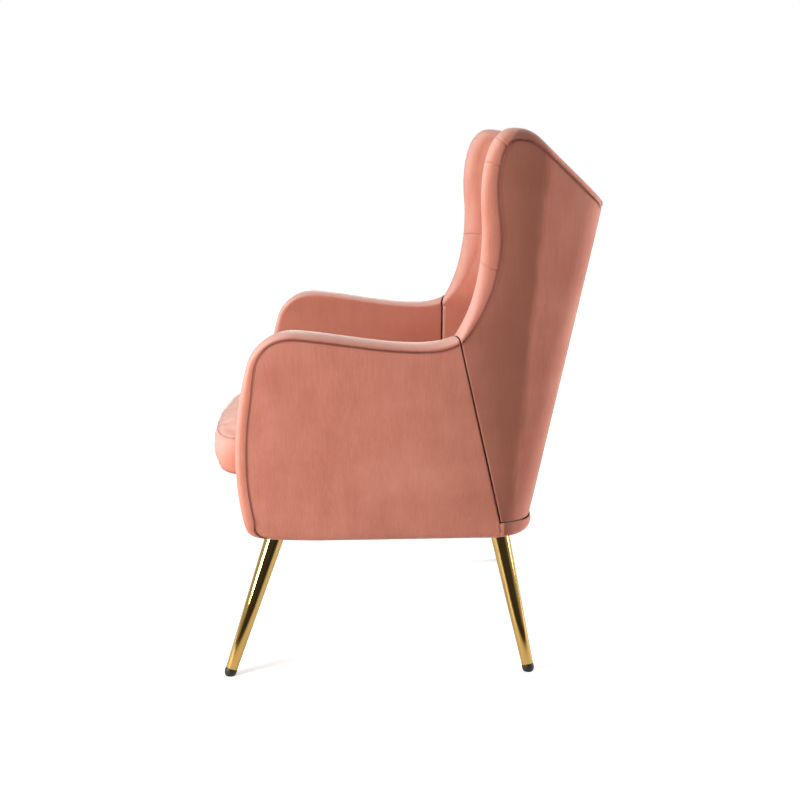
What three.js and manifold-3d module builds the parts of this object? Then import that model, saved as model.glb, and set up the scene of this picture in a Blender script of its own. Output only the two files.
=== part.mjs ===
// Upholstered wing armchair on four splayed metal legs.
// Millimetres, +Z up, the chair faces -Y, the floor is Z = 0.
// "left" and "right" are those of the person sitting in it, so left is +X.
import * as THREE from 'three';
import { mergeVertices } from 'three/addons/utils/BufferGeometryUtils.js';
import Module from 'manifold-3d';

// ---- overall sizes ----
const backHeight = 1000; // floor to the tips of the wings
const armHeight = 645; // floor to the crest of the arms
const bodyBottom = 250; // floor to the underside of the body
const deckTop = 360; // floor to the deck under the loose cushion
const seatWidth = 524; // between the inner faces of the arms

// ---- body sides: straight in plan, narrower to the rear, leaning out towards the top ----
const armBaseThickness = 28; // arm thickness at the underside, at the front
const bodyTaper = 0.049; // how far a side comes in for each mm to the rear
const armFlare = 0.11; // how far a side leans out for each mm up
const bodyFrontY = -300;

// ---- arm outline, seen from the side ----
const armCrestY = -187;
const armCornerY = -266;
const armCornerDrop = 53;
const armFrontLowY = -282;
const armFrontBulge = 28;
const armEndDrop = 7; // the arm meets the back this far under its crest
const armSag = 48;
const lowRadius = 26;

// ---- back unit ----
const backBottom = 279;
const backBottomRearY = 257;
const recline = 0.207; // rearward shift for each mm up
const rearBow = 8;
const rearCornerWidth = 57;
const rearTopDrop = 125;
const rearTopRadius = 16;
const kdGap = 2.5; // open joint between the back unit and the seat unit
const wingSeamDepth = 219;
const seamDepthBottom = 62;
const wingTipDepth = 202.1;
const wingWaistDepth = 226.8;
const wingWaistDrop = 150;
const wingBandWidth = 32;
const headDip = 68; // how far the middle of the top is under the wing tips
const wingPadFront = 60; // wing thickness at its front edge
const wingPadRear = 56; // wing thickness where it meets the inside back
const insideBackDepth = 132;
const insideBackTaper = 0.049;

// ---- layers and stock ----
const coverThickness = 10;
const rearCoverThickness = 12;
const boardThickness = 15;
const boardInset = 14;
const railThickness = 22;
const railTop = 345;
const railBottom = 262;
const backRailHeight = 55;
const lumbarRailHeight = 40;
const lumbarRailRise = 130; // deck to the lumbar rail
const postWidth = 33;
const postDepth = 28;
const postSetback = 18;
const deckThickness = 11;
const springWire = 3.4;
const springCount = 5;
const springSpacing = 84;
const springLoops = 10;
const springReach = 20;
const strapWidth = 50;
const strapThickness = 2;
const strapCount = 3;
const dustCoverThickness = 2;
const borderThickness = 26;
const fitGap = 0.3;

// ---- loose cushion ----
const cushionThickness = 118;
const cushionSideGap = 3;
const cushionBackGap = 5;
const cushionFrontY = -334;
const cushionBow = 24;
const cushionEdge = 22;

// ---- knock-down brackets ----
const bracketSpread = 120;
const bracketWidth = 50;
const bracketSheet = 2.5;
const bracketLow = 301;
const bracketHigh = 343;

// ---- legs ----
const legTopRadius = 18;
const legFootRadius = 10.5;
const legWall = 1.5;
const footCapHeight = 13;
const plateSize = 62;
const plateThickness = 3.4;
const legScrewRadius = 3;
const frontLegSetback = 2; // clear of the front border
const rearLegSetback = 30; // clear of the rounded rear corner
const frontLeg = { sideGap: 4.5, splayX: 71, splayY: -84 };
const rearLeg = { sideGap: 5.7, splayX: 75, splayY: 54 };

// ---- values that follow from the ones above ----
const halfSeat = seatWidth / 2;
const far = 600; // larger than the chair, for cutting pieces
const boardOuter = coverThickness + fitGap;
const boardInner = boardOuter + boardThickness;
const railOuter = boardInner + fitGap;
const railInner = railOuter + railThickness;
const frontRailY = -248;
const rearRailY = backBottomRearY - seamDepthBottom - 6;
const sillTop = 272;
const seamTop = { z: armHeight - armEndDrop, y: rearLineY(armHeight - armEndDrop) - wingSeamDepth };
const seamBottom = { z: backBottom, y: backBottomRearY - seamDepthBottom };
const baseRearY = backBottomRearY - 1;
const wingTip = { z: backHeight, y: rearLineY(backHeight) - wingTipDepth };
const wingWaist = { z: backHeight - wingWaistDrop, y: rearLineY(backHeight - wingWaistDrop) - wingWaistDepth };
const wingTipRear = { z: backHeight - 15, y: wingTip.y + 45 };
const rearTop = { z: backHeight - rearTopDrop, y: rearLineY(backHeight - rearTopDrop) };
const rearFlatX = halfSeat - rearCornerWidth;
const wingRise = wingWaist.z - seamTop.z;
const wingFrontX = sideX(seamTop.y, seamTop.z);
const wingRearX = sideX(seamBottom.y, seamBottom.z);

frontLeg.y = frontRailY + legTopRadius + frontLegSetback;
rearLeg.y = baseRearY - rearCoverThickness - legTopRadius - rearLegSetback;

function rearLineY(z) {
  return backBottomRearY + recline * (z - backBottom);
}

function sideX(y, z) {
  return halfSeat + armBaseThickness - bodyTaper * (y - bodyFrontY) + armFlare * (z - bodyBottom);
}

function seatSideX(y) {
  return halfSeat - bodyTaper * (y - bodyFrontY);
}

function insideBackY(z) {
  return rearLineY(z) - insideBackDepth + insideBackTaper * (z - deckTop);
}

// ---- solids ----
const wasm = await Module();
wasm.setup();

function toSolid(geometry) {
  const bare = geometry.clone();
  bare.deleteAttribute('normal');
  bare.deleteAttribute('uv');
  const merged = mergeVertices(bare, 1e-4);
  return new wasm.Manifold(new wasm.Mesh({
    numProp: 3,
    vertProperties: new Float32Array(merged.attributes.position.array),
    triVerts: new Uint32Array(merged.index.array),
  }));
}

function toGeometry(solid) {
  const mesh = solid.getMesh();
  const geometry = new THREE.BufferGeometry();
  geometry.setAttribute('position', new THREE.BufferAttribute(mesh.vertProperties, 3));
  geometry.setIndex(new THREE.BufferAttribute(mesh.triVerts, 1));
  geometry.computeVertexNormals();
  return geometry;
}

function mirrored(geometry) {
  const copy = geometry.clone();
  copy.scale(-1, 1, 1);
  const index = copy.index.array;
  for (let i = 0; i < index.length; i += 3) {
    [index[i + 1], index[i + 2]] = [index[i + 2], index[i + 1]];
  }
  copy.computeVertexNormals();
  return copy;
}

function extruded(shape, depth, curveSegments = 7) {
  return new THREE.ExtrudeGeometry(shape, { depth, bevelEnabled: false, curveSegments });
}

// A shape drawn as (y, z), running along X.
function alongX(shape, x0, x1) {
  const geometry = extruded(shape, x1 - x0);
  const turn = new THREE.Matrix4().makeBasis(
    new THREE.Vector3(0, 1, 0), new THREE.Vector3(0, 0, 1), new THREE.Vector3(1, 0, 0));
  geometry.applyMatrix4(turn);
  geometry.translate(x0, 0, 0);
  return toSolid(geometry);
}

// A shape drawn as (x, z), running along Y.
function alongY(shape, y0, y1) {
  const geometry = extruded(shape, y1 - y0);
  const turn = new THREE.Matrix4().makeBasis(
    new THREE.Vector3(1, 0, 0), new THREE.Vector3(0, 0, 1), new THREE.Vector3(0, -1, 0));
  geometry.applyMatrix4(turn);
  geometry.translate(0, y1, 0);
  return toSolid(geometry);
}

// A shape drawn as (x, y), standing from z0 to z1, that leans leanX and leanY for each mm above zRef.
function standing(shape, z0, z1, lean = {}) {
  const { leanX = 0, leanY = 0, zRef = 0 } = lean;
  const geometry = extruded(shape, z1 - z0);
  geometry.translate(0, 0, z0);
  geometry.applyMatrix4(new THREE.Matrix4().set(
    1, 0, leanX, -leanX * zRef,
    0, 1, leanY, -leanY * zRef,
    0, 0, 1, 0,
    0, 0, 0, 1));
  return toSolid(geometry);
}

function polygon(points) {
  return new THREE.Shape(points.map(([x, y]) => new THREE.Vector2(x, y)));
}

function block(x0, x1, y0, y1, z0, z1) {
  const geometry = new THREE.BoxGeometry(x1 - x0, y1 - y0, z1 - z0);
  geometry.translate((x0 + x1) / 2, (y0 + y1) / 2, (z0 + z1) / 2);
  return toSolid(geometry);
}

// A turned piece on the line from foot to top; the profile is (radius, distance from the foot).
function turnedOn(foot, top, profile, segments = 20) {
  const geometry = new THREE.LatheGeometry(profile.map(([r, h]) => new THREE.Vector2(r, h)), segments);
  geometry.rotateX(Math.PI / 2);
  const axis = top.clone().sub(foot).normalize();
  const turn = new THREE.Quaternion().setFromUnitVectors(new THREE.Vector3(0, 0, 1), axis);
  geometry.applyQuaternion(turn);
  geometry.translate(foot.x, foot.y, foot.z);
  return toSolid(geometry);
}

// The slab between two distances inside the finished left side of the body.
function sideLayer(outer, inner) {
  const shape = polygon([
    [sideX(-far, bodyBottom) - inner, -far],
    [sideX(-far, bodyBottom) - outer, -far],
    [sideX(far, bodyBottom) - outer, far],
    [sideX(far, bodyBottom) - inner, far],
  ]);
  return standing(shape, 0, backHeight, { leanX: armFlare, zRef: bodyBottom });
}

function mirrorSolid(solid) {
  return toSolid(mirrored(toGeometry(solid)));
}

function withoutPair(solid, cutter) {
  return solid.subtract(cutter).subtract(mirrorSolid(cutter));
}

function betweenSides(solid, inset) {
  return withoutPair(solid, sideLayer(-far, inset));
}

// Everything on the left of the upright inner face of the left arm, moved inward by the gap.
function beyondSeat(gap) {
  const shape = polygon([
    [seatSideX(-far) - gap, -far], [far * 2, -far], [far * 2, far], [seatSideX(far) - gap, far]]);
  return standing(shape, 0, backHeight);
}

// ---- arms ----
function armOutline(inset, bottom) {
  const corner = { y: armCornerY + inset, z: armHeight - armCornerDrop - inset * 0.6 };
  const low = { y: armFrontLowY + inset, z: bottom + lowRadius };
  const rear = kdGap / 2 + inset;
  const shape = new THREE.Shape();
  shape.moveTo(low.y, low.z);
  shape.quadraticCurveTo(low.y + 4, bottom, low.y + lowRadius + 6, bottom);
  shape.lineTo(seamBottom.y - rear, bottom);
  shape.lineTo(seamBottom.y - rear, seamBottom.z);
  shape.lineTo(seamTop.y - rear, seamTop.z - inset);
  shape.bezierCurveTo(
    seamTop.y - 50, armHeight - armSag - inset,
    armCrestY + 87, armHeight - 5 - inset,
    armCrestY, armHeight - inset);
  shape.quadraticCurveTo(armCrestY - 50, armHeight - 4 - inset, corner.y, corner.z);
  shape.bezierCurveTo(
    corner.y - 19, corner.z - 62,
    low.y - armFrontBulge, low.z + 124,
    low.y, low.z);
  return shape;
}

function armBoard(grow, bottom) {
  const layer = sideLayer(boardOuter - grow, boardInner + grow);
  return layer.intersect(alongX(armOutline(boardInset - grow, bottom), 0, far));
}

function armCover() {
  const body = sideLayer(0, far)
    .intersect(beyondSeat(0))
    .intersect(alongX(armOutline(0, bodyBottom), 0, far));
  const openBottom = block(0, far, armFrontLowY + boardInset - fitGap, far, 0, railBottom + lowRadius)
    .subtract(sideLayer(-far, coverThickness));
  const seatSide = block(0, far, frontRailY - fitGap, far, 0, deckTop - deckThickness - fitGap)
    .subtract(sideLayer(-far, boardInner));
  return body.subtract(armBoard(fitGap, railBottom)).subtract(openBottom).subtract(seatSide);
}

// ---- seat unit ----
function sideRail() {
  const length = block(0, far, frontRailY + railThickness + fitGap, rearRailY - railThickness - fitGap,
    railBottom, railTop);
  return sideLayer(railOuter, railInner).intersect(length);
}

function crossRail(y0) {
  return betweenSides(block(-far, far, y0, y0 + railThickness, railBottom, railTop), railOuter);
}

// A triangular block that fills the corner between a side rail and a cross rail.
function cornerBlock(leg, towardsRear) {
  const size = 74;
  const y = towardsRear ? rearRailY - railThickness - fitGap : frontRailY + railThickness + fitGap;
  const reach = towardsRear ? -size : size;
  const outerX = sideX(y, railTop);
  const shape = polygon(towardsRear
    ? [[outerX, y], [outerX - railInner - size, y], [outerX, y + reach - railInner]]
    : [[outerX, y], [outerX, y + reach + railInner], [outerX - railInner - size, y]]);
  const blank = standing(shape, railBottom, railTop - 10);
  return blank.subtract(sideLayer(-far, railInner + fitGap)).subtract(legScrew(leg, fitGap));
}

// The rear of the seat unit, drawn inside its finished surface and running forward to frontY.
function rearBase(inset, frontY, z0, z1) {
  const corner = 62;
  const sideEnd = sideX(seamBottom.y, bodyBottom) - inset;
  const rearEnd = baseRearY - inset;
  const shape = new THREE.Shape();
  shape.moveTo(-sideEnd, -far);
  shape.lineTo(sideEnd, -far);
  shape.lineTo(sideEnd, seamBottom.y);
  shape.bezierCurveTo(sideEnd - 4, rearEnd - corner * 0.3, sideEnd - corner * 0.4, rearEnd,
    rearFlatX, rearEnd);
  shape.lineTo(-rearFlatX, rearEnd);
  shape.bezierCurveTo(-sideEnd + corner * 0.4, rearEnd, -sideEnd + 4, rearEnd - corner * 0.3,
    -sideEnd, seamBottom.y);
  return standing(shape, z0, z1).intersect(block(-far, far, frontY, far, z0, z1));
}

function rearSill() {
  const tongue = block(-far, far, rearRailY + fitGap, seamBottom.y + 1, railBottom, sillTop);
  return rearBase(rearCoverThickness + fitGap, seamBottom.y + fitGap, railBottom, sillTop)
    .add(betweenSides(tongue, railInner));
}

function rearBaseCover() {
  const room = rearBase(rearCoverThickness, 0, 0, sillTop + fitGap);
  return rearBase(0, seamBottom.y + fitGap, bodyBottom, backBottom - kdGap).subtract(room);
}

function frontBorder() {
  const y = frontRailY - fitGap;
  const shape = new THREE.Shape();
  const edge = 12;
  shape.moveTo(y, bodyBottom);
  shape.lineTo(y, deckTop);
  shape.lineTo(y - borderThickness + edge, deckTop);
  shape.quadraticCurveTo(y - borderThickness, deckTop, y - borderThickness, deckTop - edge);
  shape.lineTo(y - borderThickness, bodyBottom + edge);
  shape.quadraticCurveTo(y - borderThickness, bodyBottom, y - borderThickness + edge, bodyBottom);
  return withoutPair(alongX(shape, -far, far), beyondSeat(fitGap));
}

function seatDeck() {
  const sheet = block(-far, far, frontRailY, rearRailY - 8, deckTop - deckThickness, deckTop);
  return withoutPair(sheet, beyondSeat(fitGap));
}

// A zigzag seat spring that lies on the front and the rear rail.
function seatSpring(x) {
  const start = frontRailY + railThickness / 2;
  const end = rearRailY - railThickness / 2;
  const z = (railTop + deckTop - deckThickness) / 2;
  const points = [];
  for (let i = 0; i <= springLoops * 2; i += 1) {
    const y = start + (end - start) * i / (springLoops * 2);
    const swing = i % 2 === 0 ? 0 : springReach * (i % 4 === 1 ? 1 : -1);
    points.push(new THREE.Vector3(x + swing, y, z));
  }
  const ring = [];
  for (let k = 0; k < 6; k += 1) {
    const angle = k * Math.PI / 3;
    ring.push([Math.cos(angle) * springWire / 2, Math.sin(angle) * springWire / 2]);
  }
  return toSolid(new THREE.ExtrudeGeometry(polygon(ring), {
    steps: springLoops * 4,
    extrudePath: new THREE.CatmullRomCurve3(points),
    bevelEnabled: false,
  }));
}

function dustCover() {
  const z = bodyBottom + 2;
  let cover = rearBase(rearCoverThickness + fitGap, frontRailY, z, z + dustCoverThickness);
  const room = legTopRadius + 4;
  for (const leg of [frontLeg, rearLeg]) {
    const { top } = legLine(leg);
    const y0 = leg === frontLeg ? -far : top.y - room;
    const y1 = leg === frontLeg ? top.y + room : far;
    cover = withoutPair(cover, block(top.x - room, far, y0, y1, 0, railTop));
  }
  return cover;
}

function seatCushion() {
  const front = cushionFrontY + cushionEdge;
  const rear = insideBackY(deckTop) - cushionBackGap - cushionEdge;
  const frontX = seatSideX(front) - cushionSideGap - cushionEdge;
  const rearX = seatSideX(rear) - cushionSideGap - cushionEdge;
  const shape = new THREE.Shape();
  shape.moveTo(-rearX, rear);
  shape.lineTo(-frontX, front);
  shape.quadraticCurveTo(0, front - 2 * cushionBow, frontX, front);
  shape.lineTo(rearX, rear);
  const geometry = new THREE.ExtrudeGeometry(shape, {
    depth: cushionThickness - 2 * cushionEdge,
    bevelThickness: cushionEdge,
    bevelSize: cushionEdge,
    bevelSegments: 3,
    curveSegments: 8,
  });
  geometry.translate(0, 0, deckTop + fitGap + cushionEdge);
  return toSolid(geometry);
}

// ---- back unit ----
function backOutline(inset) {
  const rearY = rearBow + 1 - inset;
  const shape = new THREE.Shape();
  shape.moveTo(seamBottom.y + kdGap / 2 + inset, backBottom + inset);
  shape.lineTo(rearLineY(backBottom) + rearY, backBottom + inset);
  shape.lineTo(rearTop.y + rearY, rearTop.z - rearTopRadius - inset);
  shape.quadraticCurveTo(rearTop.y + rearY, rearTop.z - inset,
    rearTop.y + rearY - rearTopRadius, rearTop.z + rearTopRadius * 0.6 - inset);
  shape.lineTo(wingTipRear.y, wingTipRear.z - inset * 1.4);
  shape.quadraticCurveTo(wingTip.y + 26, wingTip.z - inset, wingTip.y, wingTip.z - inset);
  shape.bezierCurveTo(wingTip.y - 44 + inset, wingTip.z - inset,
    wingWaist.y - 5 + inset, wingWaist.z + 80,
    wingWaist.y + inset, wingWaist.z);
  shape.bezierCurveTo(wingWaist.y + 10 + inset, wingWaist.z - wingRise * 0.38,
    seamTop.y + 25 + inset, seamTop.z + wingRise * 0.24,
    seamTop.y + kdGap / 2 + inset, seamTop.z);
  return shape;
}

// The outer panel of a wing stops where the padded front band starts.
function wingPanelOutline(grow) {
  const band = wingBandWidth - grow;
  const shape = new THREE.Shape();
  shape.moveTo(-far, 0);
  shape.lineTo(-far, far * 2);
  shape.lineTo(wingTip.y - grow, far * 2);
  shape.lineTo(wingTip.y - grow, wingTip.z - band);
  shape.bezierCurveTo(wingWaist.y + band - 4, wingWaist.z + 110,
    wingWaist.y + band - 14, wingWaist.z + 50,
    wingWaist.y + band, wingWaist.z);
  shape.bezierCurveTo(wingWaist.y + band + 14, wingWaist.z - wingRise * 0.38,
    seamTop.y + band + 34, seamTop.z + wingRise * 0.28,
    seamTop.y + kdGap / 2 - grow, seamTop.z - 8);
  shape.lineTo(seamBottom.y + kdGap / 2 - grow, backBottom);
  shape.lineTo(seamBottom.y + kdGap / 2 - grow, 0);
  return shape;
}

const reclined = { leanY: recline, zRef: backBottom };

// Plan points of the outer surface, from the flat rear round the corner to past the wing's front.
function wingPlan() {
  const slope = (wingFrontX - wingRearX) / (wingSeamDepth - seamDepthBottom);
  const corner = new THREE.CubicBezierCurve(
    new THREE.Vector2(rearFlatX, backBottomRearY - 3),
    new THREE.Vector2(rearFlatX + rearCornerWidth * 0.7, backBottomRearY - 6),
    new THREE.Vector2(wingRearX - slope * 30, backBottomRearY - seamDepthBottom + 30),
    new THREE.Vector2(wingRearX, backBottomRearY - seamDepthBottom));
  const points = corner.getPoints(6);
  const reach = 180;
  points.push(new THREE.Vector2(wingRearX + slope * reach, backBottomRearY - seamDepthBottom - reach));
  return points;
}

function insetPoints(points, inset) {
  return points.map((point, i) => {
    const before = points[Math.max(i - 1, 0)];
    const after = points[Math.min(i + 1, points.length - 1)];
    const along = after.clone().sub(before).normalize();
    return new THREE.Vector2(point.x + along.y * inset, point.y - along.x * inset);
  });
}

function planStrip(points, outer, inner) {
  const shape = new THREE.Shape([
    ...insetPoints(points, outer),
    ...insetPoints(points, inner).reverse(),
  ]);
  return standing(shape, 0, backHeight + 20, reclined);
}

function wingOuter(grow) {
  const strip = planStrip(wingPlan(), -grow, coverThickness + grow);
  return strip
    .intersect(alongX(backOutline(-3 * grow), 0, far))
    .subtract(block(-far, rearFlatX - grow, -far, far, 0, far * 2))
    .subtract(alongX(wingPanelOutline(grow), 0, far));
}

function wingFrame(grow) {
  const side = wingPlan().slice(-2);
  side[0].lerp(side[1], -grow / 50);
  const strip = planStrip(side, boardOuter - grow, boardInner + grow);
  return strip.intersect(alongX(backOutline(boardInset - 3 * grow), 0, far));
}

// The top of the back seen from the front: two raised wings and a dip between them.
function headOutline(raise) {
  const shape = new THREE.Shape();
  const ear = halfSeat + 6;
  const middle = backHeight - headDip + raise;
  shape.moveTo(0, 0);
  shape.lineTo(far, 0);
  shape.lineTo(far, backHeight + 10);
  shape.lineTo(ear, backHeight + 2 + raise);
  shape.bezierCurveTo(ear - 78, backHeight - 15 + raise, ear * 0.45, middle, 0, middle);
  shape.bezierCurveTo(-ear * 0.45, middle, -ear + 78, backHeight - 15 + raise,
    -ear, backHeight + 2 + raise);
  shape.lineTo(-far, backHeight + 10);
  shape.lineTo(-far, 0);
  return alongY(shape, -far, far);
}

function insideBackPad(grow) {
  const side = wingPlan().slice(-2);
  const [rear, front] = insetPoints(side, boardInner + fitGap - grow);
  const rollX = rearFlatX - fitGap;
  const plan = polygon([
    [rollX, rear.y + 60], [-rollX, rear.y + 60], [-rollX, rear.y + 12],
    [-rear.x, rear.y], [-front.x, front.y], [front.x, front.y], [rear.x, rear.y], [rollX, rear.y + 12]]);
  const roll = backHeight - headDip;
  const padRear = -(postSetback + postDepth + strapThickness + 4 * fitGap);
  const bottom = deckTop + 1 - grow;
  const frameTop = rearTop.z - 6;
  const shape = new THREE.Shape();
  shape.moveTo(rearLineY(bottom) + padRear, bottom);
  shape.lineTo(rearLineY(frameTop) + padRear, frameTop - grow);
  shape.lineTo(rearLineY(frameTop) - coverThickness - 6 + grow, frameTop - grow);
  shape.lineTo(rearLineY(roll) - coverThickness - 6 + grow, roll + 20);
  shape.lineTo(insideBackY(roll) + 24 - grow, roll + 20);
  shape.lineTo(insideBackY(roll) + 24 - grow, roll + grow);
  shape.quadraticCurveTo(insideBackY(roll) - grow, roll, insideBackY(roll - 40) - grow, roll - 40);
  shape.lineTo(insideBackY(bottom) - grow, bottom);
  return alongX(shape, -far, far)
    .intersect(standing(plan, 0, backHeight, reclined))
    .intersect(alongX(backOutline(-3 * grow), -far, far))
    .intersect(headOutline(3 * grow));
}

// The part of a wing's padding that closes the corner over the top of the frame.
function wingCap() {
  const points = wingPlan();
  const shape = new THREE.Shape([...points, new THREE.Vector2(rearFlatX, points.at(-1).y)]);
  return standing(shape, rearTop.z - 6, backHeight + 20, reclined);
}

function wingPad() {
  const [rear, front] = wingPlan().slice(-2);
  const depth = rear.y - front.y;
  const shape = polygon([
    [front.x - wingPadFront, front.y],
    [front.x, front.y],
    [rear.x, rear.y],
    [rear.x - boardInner, rear.y + 6],
    [rear.x - wingPadRear - 3, rear.y + 6],
    [front.x - wingPadFront - (wingPadRear - wingPadFront) * 0.6, front.y + depth * 0.6],
  ]);
  return standing(shape, 0, backHeight + 20, reclined)
    .add(wingCap())
    .intersect(alongX(backOutline(0), 0, far))
    .intersect(headOutline(0))
    .subtract(wingOuter(fitGap))
    .subtract(wingFrame(fitGap))
    .subtract(insideBackPad(fitGap))
    .subtract(block(0, far, 0, far, 0, deckTop + 1));
}

function outsideBack() {
  const shape = new THREE.Shape();
  const edge = rearFlatX - fitGap;
  shape.moveTo(-edge, backBottomRearY - coverThickness - 4);
  shape.lineTo(edge, backBottomRearY - coverThickness - 4);
  shape.lineTo(edge, backBottomRearY - 3);
  shape.quadraticCurveTo(0, backBottomRearY + rearBow * 2 + 3, -edge, backBottomRearY - 3);
  return standing(shape, 0, backHeight, reclined)
    .intersect(alongX(backOutline(0), -far, far))
    .intersect(headOutline(0));
}

function reclinedBlock(x0, x1, depth0, depth1, z0, z1) {
  const y = backBottomRearY;
  return standing(polygon([[x0, y - depth1], [x1, y - depth1], [x1, y - depth0], [x0, y - depth0]]),
    z0, z1, reclined);
}

const postOuterX = rearFlatX + 18;
const postInnerX = postOuterX - postWidth;
const postTop = rearTop.z - 14;
const lumbarLow = deckTop + lumbarRailRise;
const strapGap = (postTop - backRailHeight - deckTop - strapCount * strapWidth) / (strapCount + 1);

function backPost() {
  return reclinedBlock(postInnerX, postOuterX, postSetback, postSetback + postDepth, backBottom + 4, postTop);
}

function backCrossRail(z0, z1) {
  const half = postInnerX - fitGap;
  return reclinedBlock(-half, half, postSetback, postSetback + postDepth, z0, z1);
}

function backBottomRail() {
  const y = seamBottom.y + kdGap;
  return block(-postOuterX + 4, postOuterX - 4, y, y + 14, backBottom + 4, deckTop - 2);
}

function backStrap(z) {
  const depth = postSetback + postDepth + fitGap;
  return reclinedBlock(-postOuterX + 3, postOuterX - 3, depth, depth + strapThickness, z, z + strapWidth);
}

// ---- knock-down brackets: a tongue on the back drops into a channel on the rear rail ----
function channelBracket() {
  const y0 = rearRailY + fitGap;
  const y1 = seamBottom.y + kdGap - fitGap;
  const x0 = bracketSpread - bracketWidth / 2;
  const x1 = bracketSpread + bracketWidth / 2;
  const shape = polygon([
    [x0, y0], [x1, y0], [x1, y1], [x1 - 6, y1], [x1 - 6, y1 - 1.5], [x1 - bracketSheet, y1 - 1.5],
    [x1 - bracketSheet, y0 + bracketSheet], [x0 + bracketSheet, y0 + bracketSheet],
    [x0 + bracketSheet, y1 - 1.5], [x0 + 6, y1 - 1.5], [x0 + 6, y1], [x0, y1]]);
  return standing(shape, bracketLow, bracketHigh);
}

function tongueBracket() {
  const y0 = rearRailY + fitGap + bracketSheet + fitGap;
  const y1 = seamBottom.y + kdGap - fitGap;
  const half = bracketWidth / 2 - bracketSheet - fitGap;
  const shape = polygon([
    [y0, bracketLow + 4], [y1 - 1.5 - fitGap, bracketLow + 4],
    [y1 - 1.5 - fitGap, bracketHigh + 1], [y1, bracketHigh + 1],
    [y1, deckTop - 3], [y0, deckTop - 3]]);
  return alongX(shape, bracketSpread - half, bracketSpread + half);
}

// ---- legs ----
function legLine(leg) {
  const topX = sideX(leg.y, bodyBottom) - coverThickness - legTopRadius - leg.sideGap;
  return {
    top: new THREE.Vector3(topX, leg.y, bodyBottom),
    foot: new THREE.Vector3(topX + leg.splayX, leg.y + leg.splayY, 0),
  };
}

// The outer cone of a leg, run out past both of its ends.
function legBlank(leg, topRadius) {
  const { foot, top } = legLine(leg);
  const length = top.distanceTo(foot);
  const extra = 40;
  const grow = (topRadius - legFootRadius) / length;
  return turnedOn(foot, top, [
    [0, -extra], [legFootRadius - grow * extra, -extra],
    [topRadius + grow * extra, length + extra], [0, length + extra]]);
}

function legPlateBottom() {
  return railBottom - fitGap - plateThickness;
}

function legTube(leg) {
  const { foot, top } = legLine(leg);
  const length = top.distanceTo(foot);
  const extra = 40;
  const grow = (legTopRadius - legFootRadius) / length;
  const outerLow = legFootRadius + grow * footCapHeight;
  const outerHigh = legTopRadius + grow * extra;
  const tube = turnedOn(foot, top, [
    [outerLow - legWall, footCapHeight], [outerLow, footCapHeight],
    [outerHigh, length + extra], [outerHigh - legWall, length + extra],
    [outerLow - legWall, footCapHeight]]);
  return tube.subtract(block(-far, far, -far, far, legPlateBottom() - fitGap, far));
}

function legPlateCentre(leg) {
  const { top } = legLine(leg);
  return { x: top.x - 20, y: top.y + (leg === frontLeg ? 13 : -16) };
}

function legPlate(leg) {
  const { foot, top } = legLine(leg);
  const length = top.distanceTo(foot);
  const z = legPlateBottom();
  const { x, y } = legPlateCentre(leg);
  const plate = block(x - plateSize / 2, x + plateSize / 2,
    y - plateSize / 2, y + plateSize / 2, z, z + plateThickness);
  const spigotRadius = legTopRadius - legWall - 1;
  const spigot = turnedOn(foot, top, [
    [0, length - 26], [spigotRadius - 1, length - 26], [spigotRadius, length - 20],
    [spigotRadius, length + 30], [0, length + 30]])
    .subtract(block(-far, far, -far, far, z + plateThickness / 2, far));
  return plate.add(spigot).subtract(legScrew(leg, fitGap));
}

function legScrew(leg, grow) {
  const centre = legPlateCentre(leg);
  const x = centre.x - plateSize / 2 + 8;
  const y = centre.y + (leg === frontLeg ? 1 : -1) * (plateSize / 2 - 8);
  const z = legPlateBottom();
  const from = new THREE.Vector3(x, y, z - 2 - grow);
  const to = new THREE.Vector3(x, y, z + 40);
  return turnedOn(from, to, [
    [0, 0], [legScrewRadius + 2 + grow, 0], [legScrewRadius + 2 + grow, 1.6 + grow],
    [legScrewRadius + grow, 1.8 + grow], [legScrewRadius + grow, 34 + grow], [0, 38 + 2 * grow]], 10);
}

function footCap(leg) {
  const { foot, top } = legLine(leg);
  const grow = (legTopRadius - legFootRadius) / top.distanceTo(foot);
  const rim = legFootRadius + grow * footCapHeight + 0.4;
  const plug = rim - legWall - 1;
  const high = footCapHeight - fitGap;
  const cap = turnedOn(foot, top, [
    [0, -6], [rim * 0.45, -4.5], [rim * 0.8, -1], [rim * 0.97, 3.5], [rim, 7], [rim, high],
    [plug, high], [plug - 1, high + 16], [0, high + 16]]);
  return cap.subtract(block(-far, far, -far, far, -far, 0));
}

// ---- finishes ----
function finish(color, roughness, metalness) {
  return new THREE.MeshStandardMaterial({ color, roughness, metalness });
}

const velvet = [0xc98b7b, 0.85, 0];
const timber = [0xcba878, 0.7, 0];
const steel = [0x8d9094, 0.4, 1];
const gold = [0xd0a850, 0.12, 1];
const blackPlastic = [0x312d24, 0.5, 0];
const feltBlack = [0x1d1c1b, 0.9, 0];
const webbing = [0x9a8465, 0.9, 0];

const chair = new THREE.Group();

function addPiece(name, solid, look) {
  const mesh = new THREE.Mesh(toGeometry(solid), finish(...look));
  mesh.name = name;
  chair.add(mesh);
}

// The left piece is the one modelled; the right one is its mirror image.
function addPair(name, solid, look) {
  addPiece(`${name}_left`, solid, look);
  const twin = new THREE.Mesh(mirrored(toGeometry(solid)), finish(...look));
  twin.name = `${name}_right`;
  chair.add(twin);
}

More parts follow.
